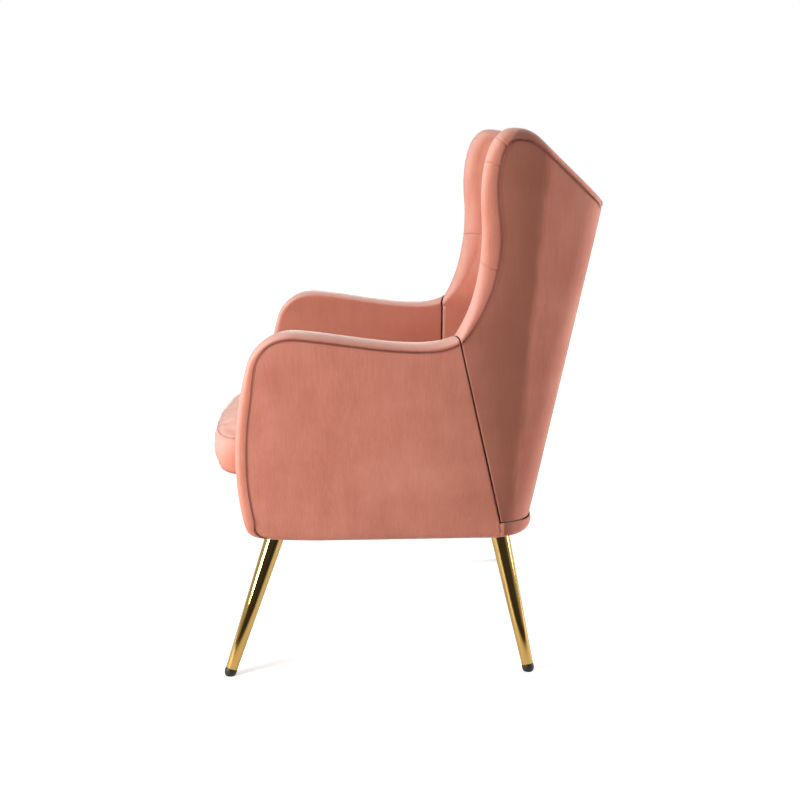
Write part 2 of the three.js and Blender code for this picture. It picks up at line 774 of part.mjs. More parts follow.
addPiece('seat_front_rail', crossRail(frontRailY), timber);
addPiece('seat_rear_rail', crossRail(rearRailY - railThickness), timber);
addPair('seat_side_rail', sideRail(), timber);
addPair('corner_block_front', cornerBlock(frontLeg, false), timber);
addPair('corner_block_rear', cornerBlock(rearLeg, true), timber);
addPair('arm_frame', armBoard(0, railBottom), timber);
addPiece('rear_sill', rearSill(), timber);
for (let i = 0; i < springCount; i += 1) {
  addPiece(`seat_spring_${i + 1}`, seatSpring((i - (springCount - 1) / 2) * springSpacing), steel);
}
addPiece('seat_deck', seatDeck(), webbing);
addPiece('dust_cover', dustCover(), feltBlack);
addPair('arm_cover', armCover(), velvet);
addPiece('front_border', frontBorder(), velvet);
addPiece('rear_base_cover', rearBaseCover(), velvet);
addPiece('seat_cushion', seatCushion(), velvet);

addPair('back_post', backPost(), timber);
addPiece('back_top_rail', backCrossRail(postTop - backRailHeight, postTop), timber);
addPiece('back_lumbar_rail', backCrossRail(lumbarLow, lumbarLow + lumbarRailHeight), timber);
addPiece('back_bottom_rail', backBottomRail(), timber);
addPair('wing_frame', wingFrame(0), timber);
for (let i = 0; i < strapCount; i += 1) {
  const z = deckTop + strapGap + i * (strapWidth + strapGap);
  addPiece(`back_strap_${i + 1}`, backStrap(z), webbing);
}
addPiece('inside_back_pad', insideBackPad(0), velvet);
addPair('wing_pad', wingPad(), velvet);
addPair('wing_outer', wingOuter(0), velvet);
addPiece('outside_back', outsideBack(), velvet);
addPair('channel_bracket', channelBracket(), steel);
addPair('tongue_bracket', tongueBracket(), steel);

for (const [place, leg] of [['front', frontLeg], ['rear', rearLeg]]) {
  addPair(`leg_plate_${place}`, legPlate(leg), steel);
  addPair(`leg_screw_${place}`, legScrew(leg, 0), steel);
  addPair(`leg_tube_${place}`, legTube(leg), gold);
  addPair(`foot_cap_${place}`, footCap(leg), blackPlastic);
}

// The origin is on the floor, under the middle of the whole chair.
chair.updateMatrixWorld(true);
const middle = new THREE.Box3().setFromObject(chair).getCenter(new THREE.Vector3());
chair.position.set(-middle.x, -middle.y, 0);
chair.updateMatrixWorld(true);

export default chair;
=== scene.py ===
import math

import bmesh
import bpy
import numpy as np
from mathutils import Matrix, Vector


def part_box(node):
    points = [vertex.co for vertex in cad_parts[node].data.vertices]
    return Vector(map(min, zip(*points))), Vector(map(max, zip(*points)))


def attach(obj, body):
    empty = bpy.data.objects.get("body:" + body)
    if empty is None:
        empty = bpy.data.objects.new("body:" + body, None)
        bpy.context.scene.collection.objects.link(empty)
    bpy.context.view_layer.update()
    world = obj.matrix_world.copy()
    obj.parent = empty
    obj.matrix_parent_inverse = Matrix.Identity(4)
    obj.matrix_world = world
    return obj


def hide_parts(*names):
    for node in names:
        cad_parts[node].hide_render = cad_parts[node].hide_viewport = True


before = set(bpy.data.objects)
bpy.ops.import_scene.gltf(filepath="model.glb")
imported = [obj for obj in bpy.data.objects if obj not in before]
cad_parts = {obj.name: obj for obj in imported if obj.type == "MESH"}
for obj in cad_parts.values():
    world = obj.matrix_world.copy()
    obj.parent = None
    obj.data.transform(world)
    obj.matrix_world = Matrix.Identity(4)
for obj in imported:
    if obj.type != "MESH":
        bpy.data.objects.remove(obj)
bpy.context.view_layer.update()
print("frame loaded:", len(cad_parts), "nodes")

scene = bpy.context.scene
scene.view_settings.view_transform = "Standard"

# the chair's own lines, in metres; a plan is drawn from the chair's middle and leaned back
chair = {
    "halfSeat": 0.262,
    "armBase": 0.028,  # arm thickness at the underside, at the front
    "taper": 0.049,  # how far a side comes in for each metre to the rear
    "flare": 0.11,  # how far an arm leans out for each metre up
    "recline": 0.207,
    "frontY": -0.300,
    "rearY": 0.257,  # rear of the back at its foot
    "backFoot": 0.279,
    "seamFootY": 0.195,
    "seamTop": (0.1122, 0.638),  # where the arm's top runs into the wing
    "wingSlope": 0.2775,  # how fast a wing opens towards the front, in plan
    "wingRearX": 0.2689,
    "rearFlatX": 0.205,
    "bow": 0.011,
    "underside": 0.250,
    "deck": 0.360,
    "openSeam": 0.00125,  # half of the open joint between the back unit and the seat unit
    "insideDepth": 0.132,
    "insideTaper": 0.049,
    "rearTop": 0.861,  # where the rear face ends under the slope
    "jointSkew": 0.0155,  # how far the open joint runs forward as it crosses the arm
}
sides = ((1, "left"), (-1, "right"))
# the frame's origin lies a little behind the point that the plan is drawn from
planShift = chair["rearY"] - 0.001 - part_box("rear_base_cover")[1][1]


def bezier(*points, count=30):
    t = np.linspace(0, 1, count)[:, None]
    level = [np.array(p, float) + 0 * t for p in points]
    while len(level) > 1:
        level = [a * (1 - t) + b * t for a, b in zip(level, level[1:])]
    return level[0]


class Path:
    # a line through points, read by its share of the length
    def __init__(self, *pieces):
        points = np.concatenate([np.atleast_2d(np.array(p, float)) for p in pieces])
        step = np.linalg.norm(np.diff(points, axis=0), axis=1)
        keep = np.concatenate([[True], step > 1e-7])
        self.points = points[keep]
        along = np.concatenate([[0], np.cumsum(step[step > 1e-7])])
        self.length = along[-1]
        self.share = along / along[-1]

    def __call__(self, t):
        return np.stack([np.interp(t, self.share, c) for c in self.points.T], -1)

    def inward(self, t, reach=0.012):
        # across the line, to the right of the way it runs
        d = self(np.clip(t + reach, 0, 1)) - self(np.clip(t - reach, 0, 1))
        n = np.stack([d[..., 1], -d[..., 0]], -1)
        return n / np.linalg.norm(n, axis=-1, keepdims=True)

    def backward(self):
        return Path(self.points[::-1])

    def shareAt(self, axis, value):
        return np.interp(value, self.points[:, axis], self.share)

    def reaches(self, axis, value):
        # the share at which the line first climbs to a value
        return self.share[int(np.argmax(self.points[:, axis] >= value))]


def spread(length, step, start=True, end=True, extra=()):
    # shares along a length, closer together next to the sewn ends and round the extra places
    fine = np.array([0, 0.0004, 0.0011, 0.0021, 0.0033, 0.0048, 0.007])
    middle = np.arange(0.010, length - 0.010, step) if start or end else np.arange(0, length, step)
    parts = [middle, [0, length]]
    if start:
        parts.append(fine)
    if end:
        parts.append(length - fine)
    for place in extra:
        parts.append(place * length + np.array([-0.004, -0.0025, -0.0012, 0, 0.0012, 0.0025, 0.004]))
    at = np.unique(np.round(np.concatenate(parts), 5))
    keep = np.concatenate([[True], np.diff(at) > 0.00035])
    at = np.clip(at[keep], 0, length)
    at[-1] = length
    return np.unique(at) / length


def coons(bottom, top, left, right, u, v):
    # a surface between four lines; left and right run up it
    a, c = u[:, None, None], v[None, :, None]
    low, high = bottom(u)[:, None], top(u)[:, None]
    corners = ((1 - a) * (1 - c) * low[:1] + a * (1 - c) * low[-1:]
               + (1 - a) * c * high[:1] + a * c * high[-1:])
    return (1 - c) * low + c * high + (1 - a) * left(v)[None] + a * right(v)[None] - corners


def normals(grid):
    du, dv = np.gradient(grid, axis=0), np.gradient(grid, axis=1)
    n = np.cross(du, dv)
    return n / np.maximum(np.linalg.norm(n, axis=-1, keepdims=True), 1e-12)


def runs(grid, axis):
    # how far each point is along its grid line
    step = np.linalg.norm(np.diff(grid, axis=axis), axis=-1)
    zero = np.zeros_like(np.take(step, [0], axis=axis))
    return np.concatenate([zero, np.cumsum(step, axis=axis)], axis=axis)


def sewn(grid, ends=(1, 1, 1, 1), roll=0.0028, depth=0.0012, crown=0.0, reach=0.1,
         grooves=(), pucker=0.0, full=1.0):
    # turns the sewn edges in, pads the middle and presses the seams in that cross the panel
    a, b = runs(grid, 0), runs(grid, 1)
    far = [a, a[-1:] - a, b, b[:, -1:] - b]
    ends = [np.asarray(weight, float) for weight in ends]
    sink, shade, lift = np.zeros(a.shape), np.zeros(a.shape), np.ones(a.shape)
    for distance, weight, across in zip(far, ends, (b, b, a, a)):
        x = np.clip(1 - distance / roll, 0, 1)
        sink = np.maximum(sink, depth * (1 - np.sqrt(1 - x * x)) * weight)
        shade = np.maximum(shade, np.exp(-distance / 0.003) * (weight > 0.1))
        if np.any(weight):
            rise = 1 - (1 - np.clip(distance / reach, 0, 1)) ** 2
            lift = lift * (1 - weight + weight * rise)
            ripple = np.sin(across * 2 * math.pi / 0.023) * np.sin(across * 2 * math.pi / 0.061 + 1)
            lift = lift + pucker * ripple * np.exp(-distance / 0.02) * rise * weight / max(crown, 1e-6)
    for place, shares, weight, deep, wide in grooves:
        at = np.array([np.interp(place, shares, a[:, j]) for j in range(a.shape[1])])
        dip = np.exp(-((a - at) / wide) ** 2) * weight
        sink = sink + deep * dip
        shade = np.maximum(shade, 0.8 * np.exp(-np.abs(a - at) / 0.002) * weight)
    return grid + normals(grid) * (lift * crown * full - sink)[..., None], shade


def bandGroove(place, shares, columns, rimColumns):
    # a seam across a band only, not down the inner face
    weight = np.zeros(columns)
    weight[:rimColumns] = 1
    return place, shares, weight, 0.0009, 0.0014


def clothPiece(name, grids, side, thickness=0.003, weld=0.0):
    # grids are (points, seam shade) and become one piece of cloth with two faces
    points, faces, shades = [], [], []
    for grid, shade in grids:
        rows, columns = grid.shape[:2]
        first = len(points)
        flat = grid.reshape(-1, 3) * (side, 1, 1) - (0, planShift, 0)
        points.extend(flat.tolist())
        shades.extend(shade.ravel().tolist())
        for i in range(rows - 1):
            for j in range(columns - 1):
                k = first + i * columns + j
                quad = (k, k + columns, k + columns + 1, k + 1)
                faces.append(quad if side > 0 else quad[::-1])
    mesh = bpy.data.meshes.new(name)
    mesh.from_pydata(points, [], faces)
    mesh.attributes.new("seamShade", "FLOAT", "POINT").data.foreach_set("value", shades)
    if weld:
        edit = bmesh.new()
        edit.from_mesh(mesh)
        bmesh.ops.remove_doubles(edit, verts=edit.verts, dist=weld)
        edit.to_mesh(mesh)
        edit.free()
    piece = addPiece(name, mesh)
    if thickness:
        shell = piece.modifiers.new("thickness", "SOLIDIFY")
        shell.thickness = thickness
        shell.offset = -1
    return piece


def addPiece(name, mesh):
    mesh.validate()
    mesh.polygons.foreach_set("use_smooth", [True] * len(mesh.polygons))
    mesh.update()
    piece = bpy.data.objects.new(name, mesh)
    scene.collection.objects.link(piece)
    return piece


def dress(piece, material, body="chair_body", replaced=()):
    piece.data.materials.append(material)
    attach(piece, body)
    if replaced:
        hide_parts(*replaced)
    return piece


def threads(name, lines, radius=0.0008, sides=5):
    # sewing thread along several lines of points
    points, faces = [], []
    turn = np.linspace(0, 2 * math.pi, sides, endpoint=False)
    for line in lines:
        line = np.array(line)
        d = np.gradient(line, axis=0)
        d /= np.maximum(np.linalg.norm(d, axis=1, keepdims=True), 1e-12)
        guide = np.tile((0.3, 0.2, 1.0), (len(line), 1))
        p = np.cross(d, guide)
        p /= np.linalg.norm(p, axis=1, keepdims=True)
        q = np.cross(d, p)
        first = len(points)
        ring = p[:, None] * np.cos(turn)[None, :, None] + q[:, None] * np.sin(turn)[None, :, None]
        points.extend((line[:, None] + ring * radius).reshape(-1, 3).tolist())
        for i in range(len(line) - 1):
            for j in range(sides):
                k = (j + 1) % sides
                low = first + i * sides
                faces.append((low + j, low + k, low + sides + k, low + sides + j))
        faces.append(tuple(first + j for j in reversed(range(sides))))
        faces.append(tuple(first + (len(line) - 1) * sides + j for j in range(sides)))
    mesh = bpy.data.meshes.new(name)
    mesh.from_pydata(points, [], faces)
    return addPiece(name, mesh)


def zigzag(line, across, out, pitch=0.0048, swing=0.0023, lift=0.0002):
    # a topstitch that crosses from one side of a seam to the other
    path = Path(line)
    count = int(path.length / pitch * 2)
    t = np.linspace(0.002, 0.998, count)
    sway = np.stack([np.interp(t, path.share, c) for c in across.T], -1)
    away = np.stack([np.interp(t, path.share, c) for c in out.T], -1)
    swap = np.where(np.arange(count) % 2 == 0, 1.0, -1.0)[:, None]
    return path(t) + sway * swap * swing + away * lift


class Wire:
    # a shader socket that takes part in sums
    def __init__(self, shader, socket):
        self.shader = shader
        self.socket = socket

    def sum(self, kind, a, b):
        return self.shader.add("ShaderNodeMath", {"operation": kind}, {0: a, 1: b})

    def __add__(self, other):
        return self.sum("ADD", self, other)

    __radd__ = __add__

    def __sub__(self, other):
        return self.sum("SUBTRACT", self, other)

    def __rsub__(self, other):
        return self.sum("SUBTRACT", other, self)

    def __mul__(self, other):
        return self.sum("MULTIPLY", self, other)

    __rmul__ = __mul__


class Shader:
    # the nodes of one finish, or of the sky
    def __init__(self, owner):
        self.owner = owner
        owner.use_nodes = True
        self.tree = owner.node_tree
        self.tree.nodes.clear()
        self.place = self.add("ShaderNodeTexCoord", out="Object")

    def add(self, kind, settings=None, inputs=None, out=0):
        node = self.tree.nodes.new(kind)
        for key, value in (settings or {}).items():
            if key == "stops":
                ramp = node.color_ramp
                while len(ramp.elements) < len(value):
                    ramp.elements.new(0.5)
                for element, (position, colour) in zip(ramp.elements, value):
                    element.position = position
                    element.color = (*colour, 1)
            else:
                setattr(node, key, value)
        for key, value in (inputs or {}).items():
            self.feed(node.inputs[key], value)
        return Wire(self, node.outputs[out]) if node.outputs else node

    def feed(self, socket, value):
        if isinstance(value, Wire):
            self.tree.links.new(value.socket, socket)
        elif hasattr(value, "__len__") and len(value) == 3 and socket.type == "RGBA":
            socket.default_value = (*value, 1)
        else:
            socket.default_value = value

    def noise(self, scale, detail=2.0, stretch=(1, 1, 1), rough=0.5):
        at = self.add("ShaderNodeMapping", {}, {"Vector": self.place, "Scale": stretch})
        return self.add("ShaderNodeTexNoise", {}, {
            "Vector": at, "Scale": scale, "Detail": detail, "Roughness": rough})

    def between(self, value, start, end, low=0.0, high=1.0):
        # a soft step from low to high as the value goes from start to end
        if start > end:
            start, end, low, high = end, start, high, low
        return self.add("ShaderNodeMapRange", {"interpolation_type": "SMOOTHSTEP"}, {
            0: value, 1: start, 2: end, 3: low, 4: high})

    def axis(self, vector, name):
        return self.add("ShaderNodeSeparateXYZ", {}, {0: vector}, out=name)

    def mix(self, share, a, b):
        # sockets 6 and 7 are the colours, 2 the colour result
        return self.add("ShaderNodeMix", {"data_type": "RGBA", "clamp_factor": True},
                        {0: share, 6: a, 7: b}, out=2)

    def finish(self, colour, roughness, height=None, bump=0.3, reach=0.001, **fixed):
        surface = {"Base Color": colour, "Roughness": roughness}
        if height is not None:
            surface["Normal"] = self.add("ShaderNodeBump", {}, {
                "Strength": bump, "Distance": reach, "Height": height})
        surface.update({key.replace("_", " "): value for key, value in fixed.items()})
        shaded = self.add("ShaderNodeBsdfPrincipled", {}, surface)
        self.add("ShaderNodeOutputMaterial", {}, {"Surface": shaded})
        return self.owner


def startFinish(name):
    return Shader(bpy.data.materials.new(name))


def hue(red, green, blue):
    # a colour picked on screen, 0 to 255
    def straight(c):
        c /= 255
        return c / 12.92 if c <= 0.04045 else ((c + 0.055) / 1.055) ** 2.4
    return tuple(straight(c) for c in (red, green, blue))


velvet = {
    "deep": (190, 116, 97),
    "middle": (206, 131, 111),
    "brushed": (217, 146, 126),
    # painted shade: the colour that the cloth is darkened towards next to the seams
    "seam": (128, 66, 54),
    "sheen": 0.7,
    "sheenTint": (1.0, 0.92, 0.88),
    "nap": 1100.0,  # size of the pile's grain
    "patches": 5.0,
    "ribs": 420.0,
    "paintedSheen": (232, 188, 176),  # painted sheen: the paler pink on cloth that faces the front or up
    "paintedSheenShare": 0.56,
    "dark": (146, 88, 70),  # painted shade: the darker pink on outer wings turned a little to the rear, and low on the arms' inner faces
    "paintedShadeShare": 0.72,
    "insideShadeShare": 0.5,
    "shadeEdgeFoot": (0.198, 0.284),  # y and z where the painted shade on an outer wing ends
    "shadeEdgeLean": 0.0725,
}


def makeVelvet():
    s = startFinish("velvetPink")
    patch = s.noise(velvet["patches"], 3, (1, 1, 1.4), 0.55)
    rib = s.noise(velvet["ribs"], 1, (1, 1, 0.03))
    nap = s.noise(velvet["nap"], 2)
    brush = s.noise(38, 3, (1, 1, 0.25))
    pile = patch * 0.34 + brush * 0.13 + rib * 0.1 + nap * 0.27 + 0.055
    colour = s.add("ShaderNodeValToRGB", {"stops": [
        (0.37, hue(*velvet["deep"])), (0.475, hue(*velvet["middle"])), (0.58, hue(*velvet["brushed"]))]},
        {"Fac": pile})
    # painted sheen: cloth that faces the front or up is painted paler, where the front lamp and the
    # velvet's sheen light it
    facing = s.add("ShaderNodeNewGeometry", out="Normal")
    side, front, up = (s.axis(facing, name) for name in "XYZ")
    paintedSheenMask = s.between(up * 0.8 - front * 0.62 + brush * 0.2, 0.22, 0.95)
    colour = s.mix(paintedSheenMask * velvet["paintedSheenShare"], colour, hue(*velvet["paintedSheen"]))
    # painted shade: cloth on an outer wing turned a little to the rear, away from the front lamp, is
    # painted darker in front of a leaning line, less so further forward
    x, y, z = (s.axis(s.place, name) for name in "XYZ")
    shadeEdgeY, shadeEdgeZ = velvet["shadeEdgeFoot"]
    past = y - z * velvet["shadeEdgeLean"] + (velvet["shadeEdgeLean"] * shadeEdgeZ - shadeEdgeY)
    outer = s.between(front, 0.14, 0.24) * s.between(past + brush * 0.02, 0.024, 0.004)
    along = outer * s.between(past, -0.13, -0.01, 0.45, 1.0)
    colour = s.mix(along * velvet["paintedShadeShare"], colour, hue(*velvet["dark"]))
    # painted shade on the inward-facing cloth between the arms, below about 0.62 m
    inside = s.between(x * side * -1, 0.10, 0.23) * s.between(z, 0.665, 0.615)
    colour = s.mix(inside * velvet["insideShadeShare"], colour, hue(*velvet["dark"]))
    # painted shade along the seams, as strong as the seamShade attribute gives
    seam = s.add("ShaderNodeAttribute", {"attribute_name": "seamShade"}, out="Fac")
    colour = s.mix(seam * 0.2, colour, hue(*velvet["seam"]))
    return s.finish(colour, patch * 0.15 + 0.72, nap * 0.8 + rib * 0.25 + brush * 0.3,
                    bump=0.35, reach=0.0009, Sheen_Weight=velvet["sheen"], Sheen_Roughness=0.35,
                    Sheen_Tint=(*velvet["sheenTint"], 1), Specular_IOR_Level=0.15)


def makeThread():
    s = startFinish("threadPink")
    twist = s.add("ShaderNodeTexWave", {"bands_direction": "DIAGONAL"}, {
        "Vector": s.place, "Scale": 900.0, "Distortion": 1.0}, out="Fac")
    colour = s.mix(twist, hue(146, 82, 66), hue(196, 126, 108))
    return s.finish(colour, 0.6, twist, bump=0.4, reach=0.0002)


def makeTimber():
    s = startFinish("timberPlain")
    at = s.add("ShaderNodeMapping", {}, {"Vector": s.place, "Scale": (4, 26, 26)})
    grain = s.add("ShaderNodeTexNoise", {}, {"Vector": at, "Scale": 3.0, "Detail": 6.0, "Distortion": 1.4})
    pore = s.noise(240, 2, (0.15, 1, 1))
    colour = s.mix(grain * 0.8 + pore * 0.2, hue(168, 122, 76), hue(218, 182, 132))
    return s.finish(colour, pore * 0.2 + 0.5, grain + pore * 0.6, bump=0.25, reach=0.0006)


def makeSteel():
    s = startFinish("springSteel")
    scratch = s.noise(300, 3, (1, 0.1, 1))
    spots = s.noise(60, 3)
    colour = s.mix(spots, hue(120, 122, 126), hue(182, 184, 188))
    return s.finish(colour, scratch * 0.25 + 0.25, scratch, bump=0.1, reach=0.0002, Metallic=1.0)


def makeGold():
    s = startFinish("legGold")
    cloud = s.noise(14, 2, (1, 1, 0.3))
    smudge = s.noise(55, 4)
    colour = s.mix(cloud, hue(216, 172, 92), hue(236, 200, 126))
    return s.finish(colour, smudge * 0.08 + 0.055, smudge, bump=0.02, reach=0.0002, Metallic=1.0)


def makeFootPlastic():
    s = startFinish("footPlastic")
    grain = s.noise(700, 2)
    wear = s.noise(24, 3)
    colour = s.mix(wear, hue(26, 25, 24), hue(52, 49, 46))
    return s.finish(colour, wear * 0.2 + 0.38, grain, bump=0.15, reach=0.0003)


def makeWoven(name, dark, light, threadsPerMetre, bump=0.5):
    s = startFinish(name)
    warp = s.add("ShaderNodeTexWave", {"bands_direction": "X"}, {
        "Vector": s.place, "Scale": threadsPerMetre, "Distortion": 0.4}, out="Fac")
    weft = s.add("ShaderNodeTexWave", {"bands_direction": "Y"}, {
        "Vector": s.place, "Scale": threadsPerMetre, "Distortion": 0.4}, out="Fac")
    fuzz = s.noise(60, 3)
    weave = warp * 0.5 + weft * 0.5
    colour = s.mix(weave * 0.7 + fuzz * 0.3, hue(*dark), hue(*light))
    return s.finish(colour, fuzz * 0.2 + 0.7, weave, bump=bump, reach=0.0005)


finishes = {
    "velvet": makeVelvet(),
    "timber": makeTimber(),
    "spring_steel": makeSteel(),
    "leg_metal": makeGold(),
    "foot_plastic": makeFootPlastic(),
    "dust_cloth": makeWoven("dustCloth", (18, 18, 19), (50, 50, 52), 190),
    "webbing": makeWoven("strapWebbing", (112, 92, 66), (190, 168, 130), 130),
}
thread = makeThread()
print("materials made")


studio = {
    "cameraX": 2.44,
    "cameraZ": 0.985,
    "pitch": 12.24,
    "yaw": -0.19,
    "lens": 54.75,
    "sky": 0.48,
    "skyCameraSide": 0.05,
    "key": 96.0,
    "keyPlace": (1.6, -2.5, 1.35),
    "rear": 68.0,
    "rearPlace": (-0.45, 2.9, 1.1),
    "top": 6.0,
    "topPlace": (-0.4, -0.3, 2.9),
    "aim": (0, 0, 0.5),
    "floorHalf": 60,
    "floorGlow": 0.5,
    "floorGlowFar": 0.8,
}


def addLamp(name, place, size, power, colour=(1, 1, 1)):
    data = bpy.data.lights.new(name, "AREA")
    data.size = size
    data.energy = power
    data.color = colour
    lamp = bpy.data.objects.new(name, data)
    lamp.location = place
    toward = Vector(studio["aim"]) - Vector(place)
    lamp.rotation_euler = toward.to_track_quat("-Z", "Y").to_euler()
    scene.collection.objects.link(lamp)


def placeCamera():
    data = bpy.data.cameras.new("sideView")
    data.lens = studio["lens"]
    data.sensor_width = 36
    camera = bpy.data.objects.new("sideView", data)
    camera.location = (studio["cameraX"], -planShift, studio["cameraZ"])
    camera.rotation_euler = [math.radians(a) for a in (90 - studio["pitch"], 0, 90 + studio["yaw"])]
    scene.collection.objects.link(camera)
    scene.camera = camera


def layFloor():
    mesh = bpy.data.meshes.new("studioFloor")
    half = studio["floorHalf"]
    corners = [(-half, -half, 0), (half, -half, 0), (half, half, 0), (-half, half, 0)]
    mesh.from_pydata(corners, [], [(0, 1, 2, 3)])
    floor = bpy.data.objects.new("studioFloor", mesh)
    scene.collection.objects.link(floor)
    s = startFinish("paleFloor")
    tone = s.mix(s.noise(3, 2), (0.80, 0.80, 0.80), (0.83, 0.83, 0.83))
    # painted reflection: to glossy rays the floor on the camera's side is painted nearly black, so what the
    # polished legs mirror is dark on the camera's side
    paintedDarkReflection = s.between(s.axis(s.place, "X"), 0.35, 0.9)
    mirrored = s.add("ShaderNodeLightPath", out="Is Glossy Ray")
    paint = s.mix(mirrored * paintedDarkReflection, tone, (0.015, 0.015, 0.015))
    # a glow that only the camera sees keeps the floor nearly white without lighting the chair
    away = s.add("ShaderNodeVectorMath", {"operation": "LENGTH"}, {0: s.place}, out="Value")
    glow = s.add("ShaderNodeMapRange", {}, {
        0: away, 1: 0.7, 2: 2.6, 3: studio["floorGlow"], 4: studio["floorGlowFar"]})
    seen = s.add("ShaderNodeLightPath", out="Is Camera Ray")
    mesh.materials.append(s.finish(paint, 0.6, Emission_Strength=1.0, Emission_Color=seen * glow))


def paintSky():
    world = bpy.data.worlds.new("studioSky")
    scene.world = world
    s = Shader(world)
    # dark on the side that the camera stands on, as in a studio with a black flag
    way = s.add("ShaderNodeTexCoord", out="Generated")
    strength = s.add("ShaderNodeMapRange", {}, {
        0: s.axis(way, "X"), 1: 0.25, 2: 0.75, 3: studio["sky"], 4: studio["skyCameraSide"]})
    lit = s.add("ShaderNodeBackground", {}, {"Color": (1, 1, 1), "Strength": strength})
    shown = s.add("ShaderNodeBackground", {}, {"Color": (1, 1, 1), "Strength": 1.0})
    seen = s.add("ShaderNodeLightPath", out="Is Camera Ray")
    blend = s.add("ShaderNodeMixShader", {}, {0: seen, 1: lit, 2: shown})
    s.add("ShaderNodeOutputWorld", {}, {"Surface": blend})


placeCamera()
layFloor()
paintSky()
addLamp("keyFront", studio["keyPlace"], 1.1, studio["key"], (1, 0.985, 0.96))
addLamp("rearSoft", studio["rearPlace"], 1.4, studio["rear"])
addLamp("topSoft", studio["topPlace"], 1.8, studio["top"])
print("studio set")


# the faces that the cloths lie on
def armInnerX(y):
    return chair["halfSeat"] - chair["taper"] * (y - chair["frontY"])


def armFootX(y):
    return chair["halfSeat"] + chair["armBase"] - chair["taper"] * (y - chair["frontY"])


def armOuterX(y, z, edge):
    x = armFootX(y) + chair["flare"] * (z - chair["underside"])
    low = np.clip(1 - (z - chair["underside"]) / edge, 0, 1)
    return x - edge * (1 - np.sqrt(1 - low * low))


def leaned(z):
    return chair["recline"] * (z - chair["backFoot"])


def rearLine(z):
    return chair["rearY"] + leaned(z)


def insideBack(z):
    return rearLine(z) - chair["insideDepth"] + chair["insideTaper"] * (z - chair["deck"])


# plan of the back unit's outer face, from the wing's front round the corner to the flat rear
def backPlan():
    reach = 0.18
    rearX, seamY, flatX = chair["wingRearX"], chair["seamFootY"], chair["rearFlatX"]
    front = (rearX + chair["wingSlope"] * reach, seamY - reach)
    y = chair["rearY"]
    corner = bezier((rearX, seamY), (rearX - chair["wingSlope"] * 0.03, seamY + 0.03),
                    (flatX + 0.04, y - 0.006), (flatX, y - 0.003), count=40)
    straight = bezier(front, (rearX, seamY), count=30)
    return Path(straight, corner)


plan = backPlan()


def wingOuterX(y, z):
    yPlan = np.minimum(y - leaned(z), plan.points[-1, 1])
    return np.interp(yPlan, plan.points[:, 1], plan.points[:, 0])


def backFace(share, z):
    at = plan(share)
    return np.stack([at[..., 0], at[..., 1] + leaned(z), z], -1)


def towardJoint(inward, share):
    # turns the depth of a band into the line of the open joint, at the band's end
    yTop, zTop = chair["seamTop"]
    joint = np.array([chair["seamFootY"] - yTop, chair["backFoot"] - zTop])
    joint /= np.linalg.norm(joint)
    turned = inward * (1 - share[:, None]) + joint * share[:, None]
    return turned / np.linalg.norm(turned, axis=1, keepdims=True)


def halfRound(fullness, count=17):
    # from the outer face over the rim to the inner face: (across -1..1, depth under the rim 1..0..1)
    fine = np.array([0, 0.03, 0.08, 0.16, 0.26, 0.38])
    turn = np.concatenate([fine, np.linspace(0.52, math.pi - 0.52, count - 12), math.pi - fine[::-1]])
    c, s = np.cos(turn), np.abs(np.sin(turn))
    return np.sign(c) * np.abs(c) ** (2 / fullness), 1 - s ** (2 / fullness)


arm = {
    "rimFront": 0.023,  # how far the outer seam lies under the rim, down the front
    "rimTop": 0.0105,  # along the top
    "rimEnd": 0.0135,  # and at the joint with the wing
    "fullness": 2.7,
    "seamDepth": 0.0006,
    "crown": 0.004,
    "innerPad": 0.006,
    "jointY": 0.100,  # upright seam between the arm and the wing, inside
    "faceFrontY": -0.245,
    "faceFoot": 0.345,  # the inner face runs down to here, under the deck's top
    "turnFrom": 0.86,  # share of the rim from where the band turns into the open joint
    "edge": 0.012,  # rounding of the lower edge
    "cornerHeight": 0.582,  # where the outer panel's front ends and its top starts
    "under": 0.022,  # how far the outer panel goes round the lower edge
    "step": 0.008,
}


def armRimPath():
    low, corner, crest = (-0.2825, chair["backFoot"]), (-0.266, 0.592), (-0.187, 0.645)
    endY, endZ = chair["seamTop"]
    return Path(
        bezier((-0.238, chair["underside"]), (-0.277, chair["underside"]), low, count=16),
        bezier(low, (-0.3095, 0.400), (-0.2855, 0.530), corner, count=40),
        bezier(corner, (-0.2555, 0.6165), (-0.232, 0.6425), crest, count=24),
        bezier(crest, (-0.100, 0.6405), (0.0622, 0.597), (endY - chair["openSeam"], endZ), count=40))


armRim = armRimPath()


def armDepth(s):
    knots = [0, armRim.reaches(1, chair["backFoot"]), 0.40, 0.56, 0.88, 1.0]
    front, top = arm["rimFront"], arm["rimTop"]
    return np.interp(s, knots, [0.003, front, front, top, top, arm["rimEnd"]])


def armBand():
    # the band over an arm's rim: shares along it, the way into the arm, and its points
    s = spread(armRim.length, arm["step"], start=False)
    ending = np.clip((s - arm["turnFrom"]) / (1 - arm["turnFrom"]), 0, 1) ** 2
    inward, depth = towardJoint(armRim.inward(s), ending), armDepth(s)
    across, under = halfRound(arm["fullness"])
    skew = chair["jointSkew"] / armRim.length * (1 - across) / 2
    rim = armRim(s[:, None] - skew[None] * ending[:, None])
    yz = rim + inward[:, None] * (depth[:, None] * under[None])[..., None]
    outer, inner = armOuterX(yz[..., 0], yz[..., 1], arm["edge"]), armInnerX(yz[..., 0])
    x = (outer + inner) / 2 + (outer - inner) / 2 * across[None]
    return s, inward, np.concatenate([x[..., None], yz], -1)


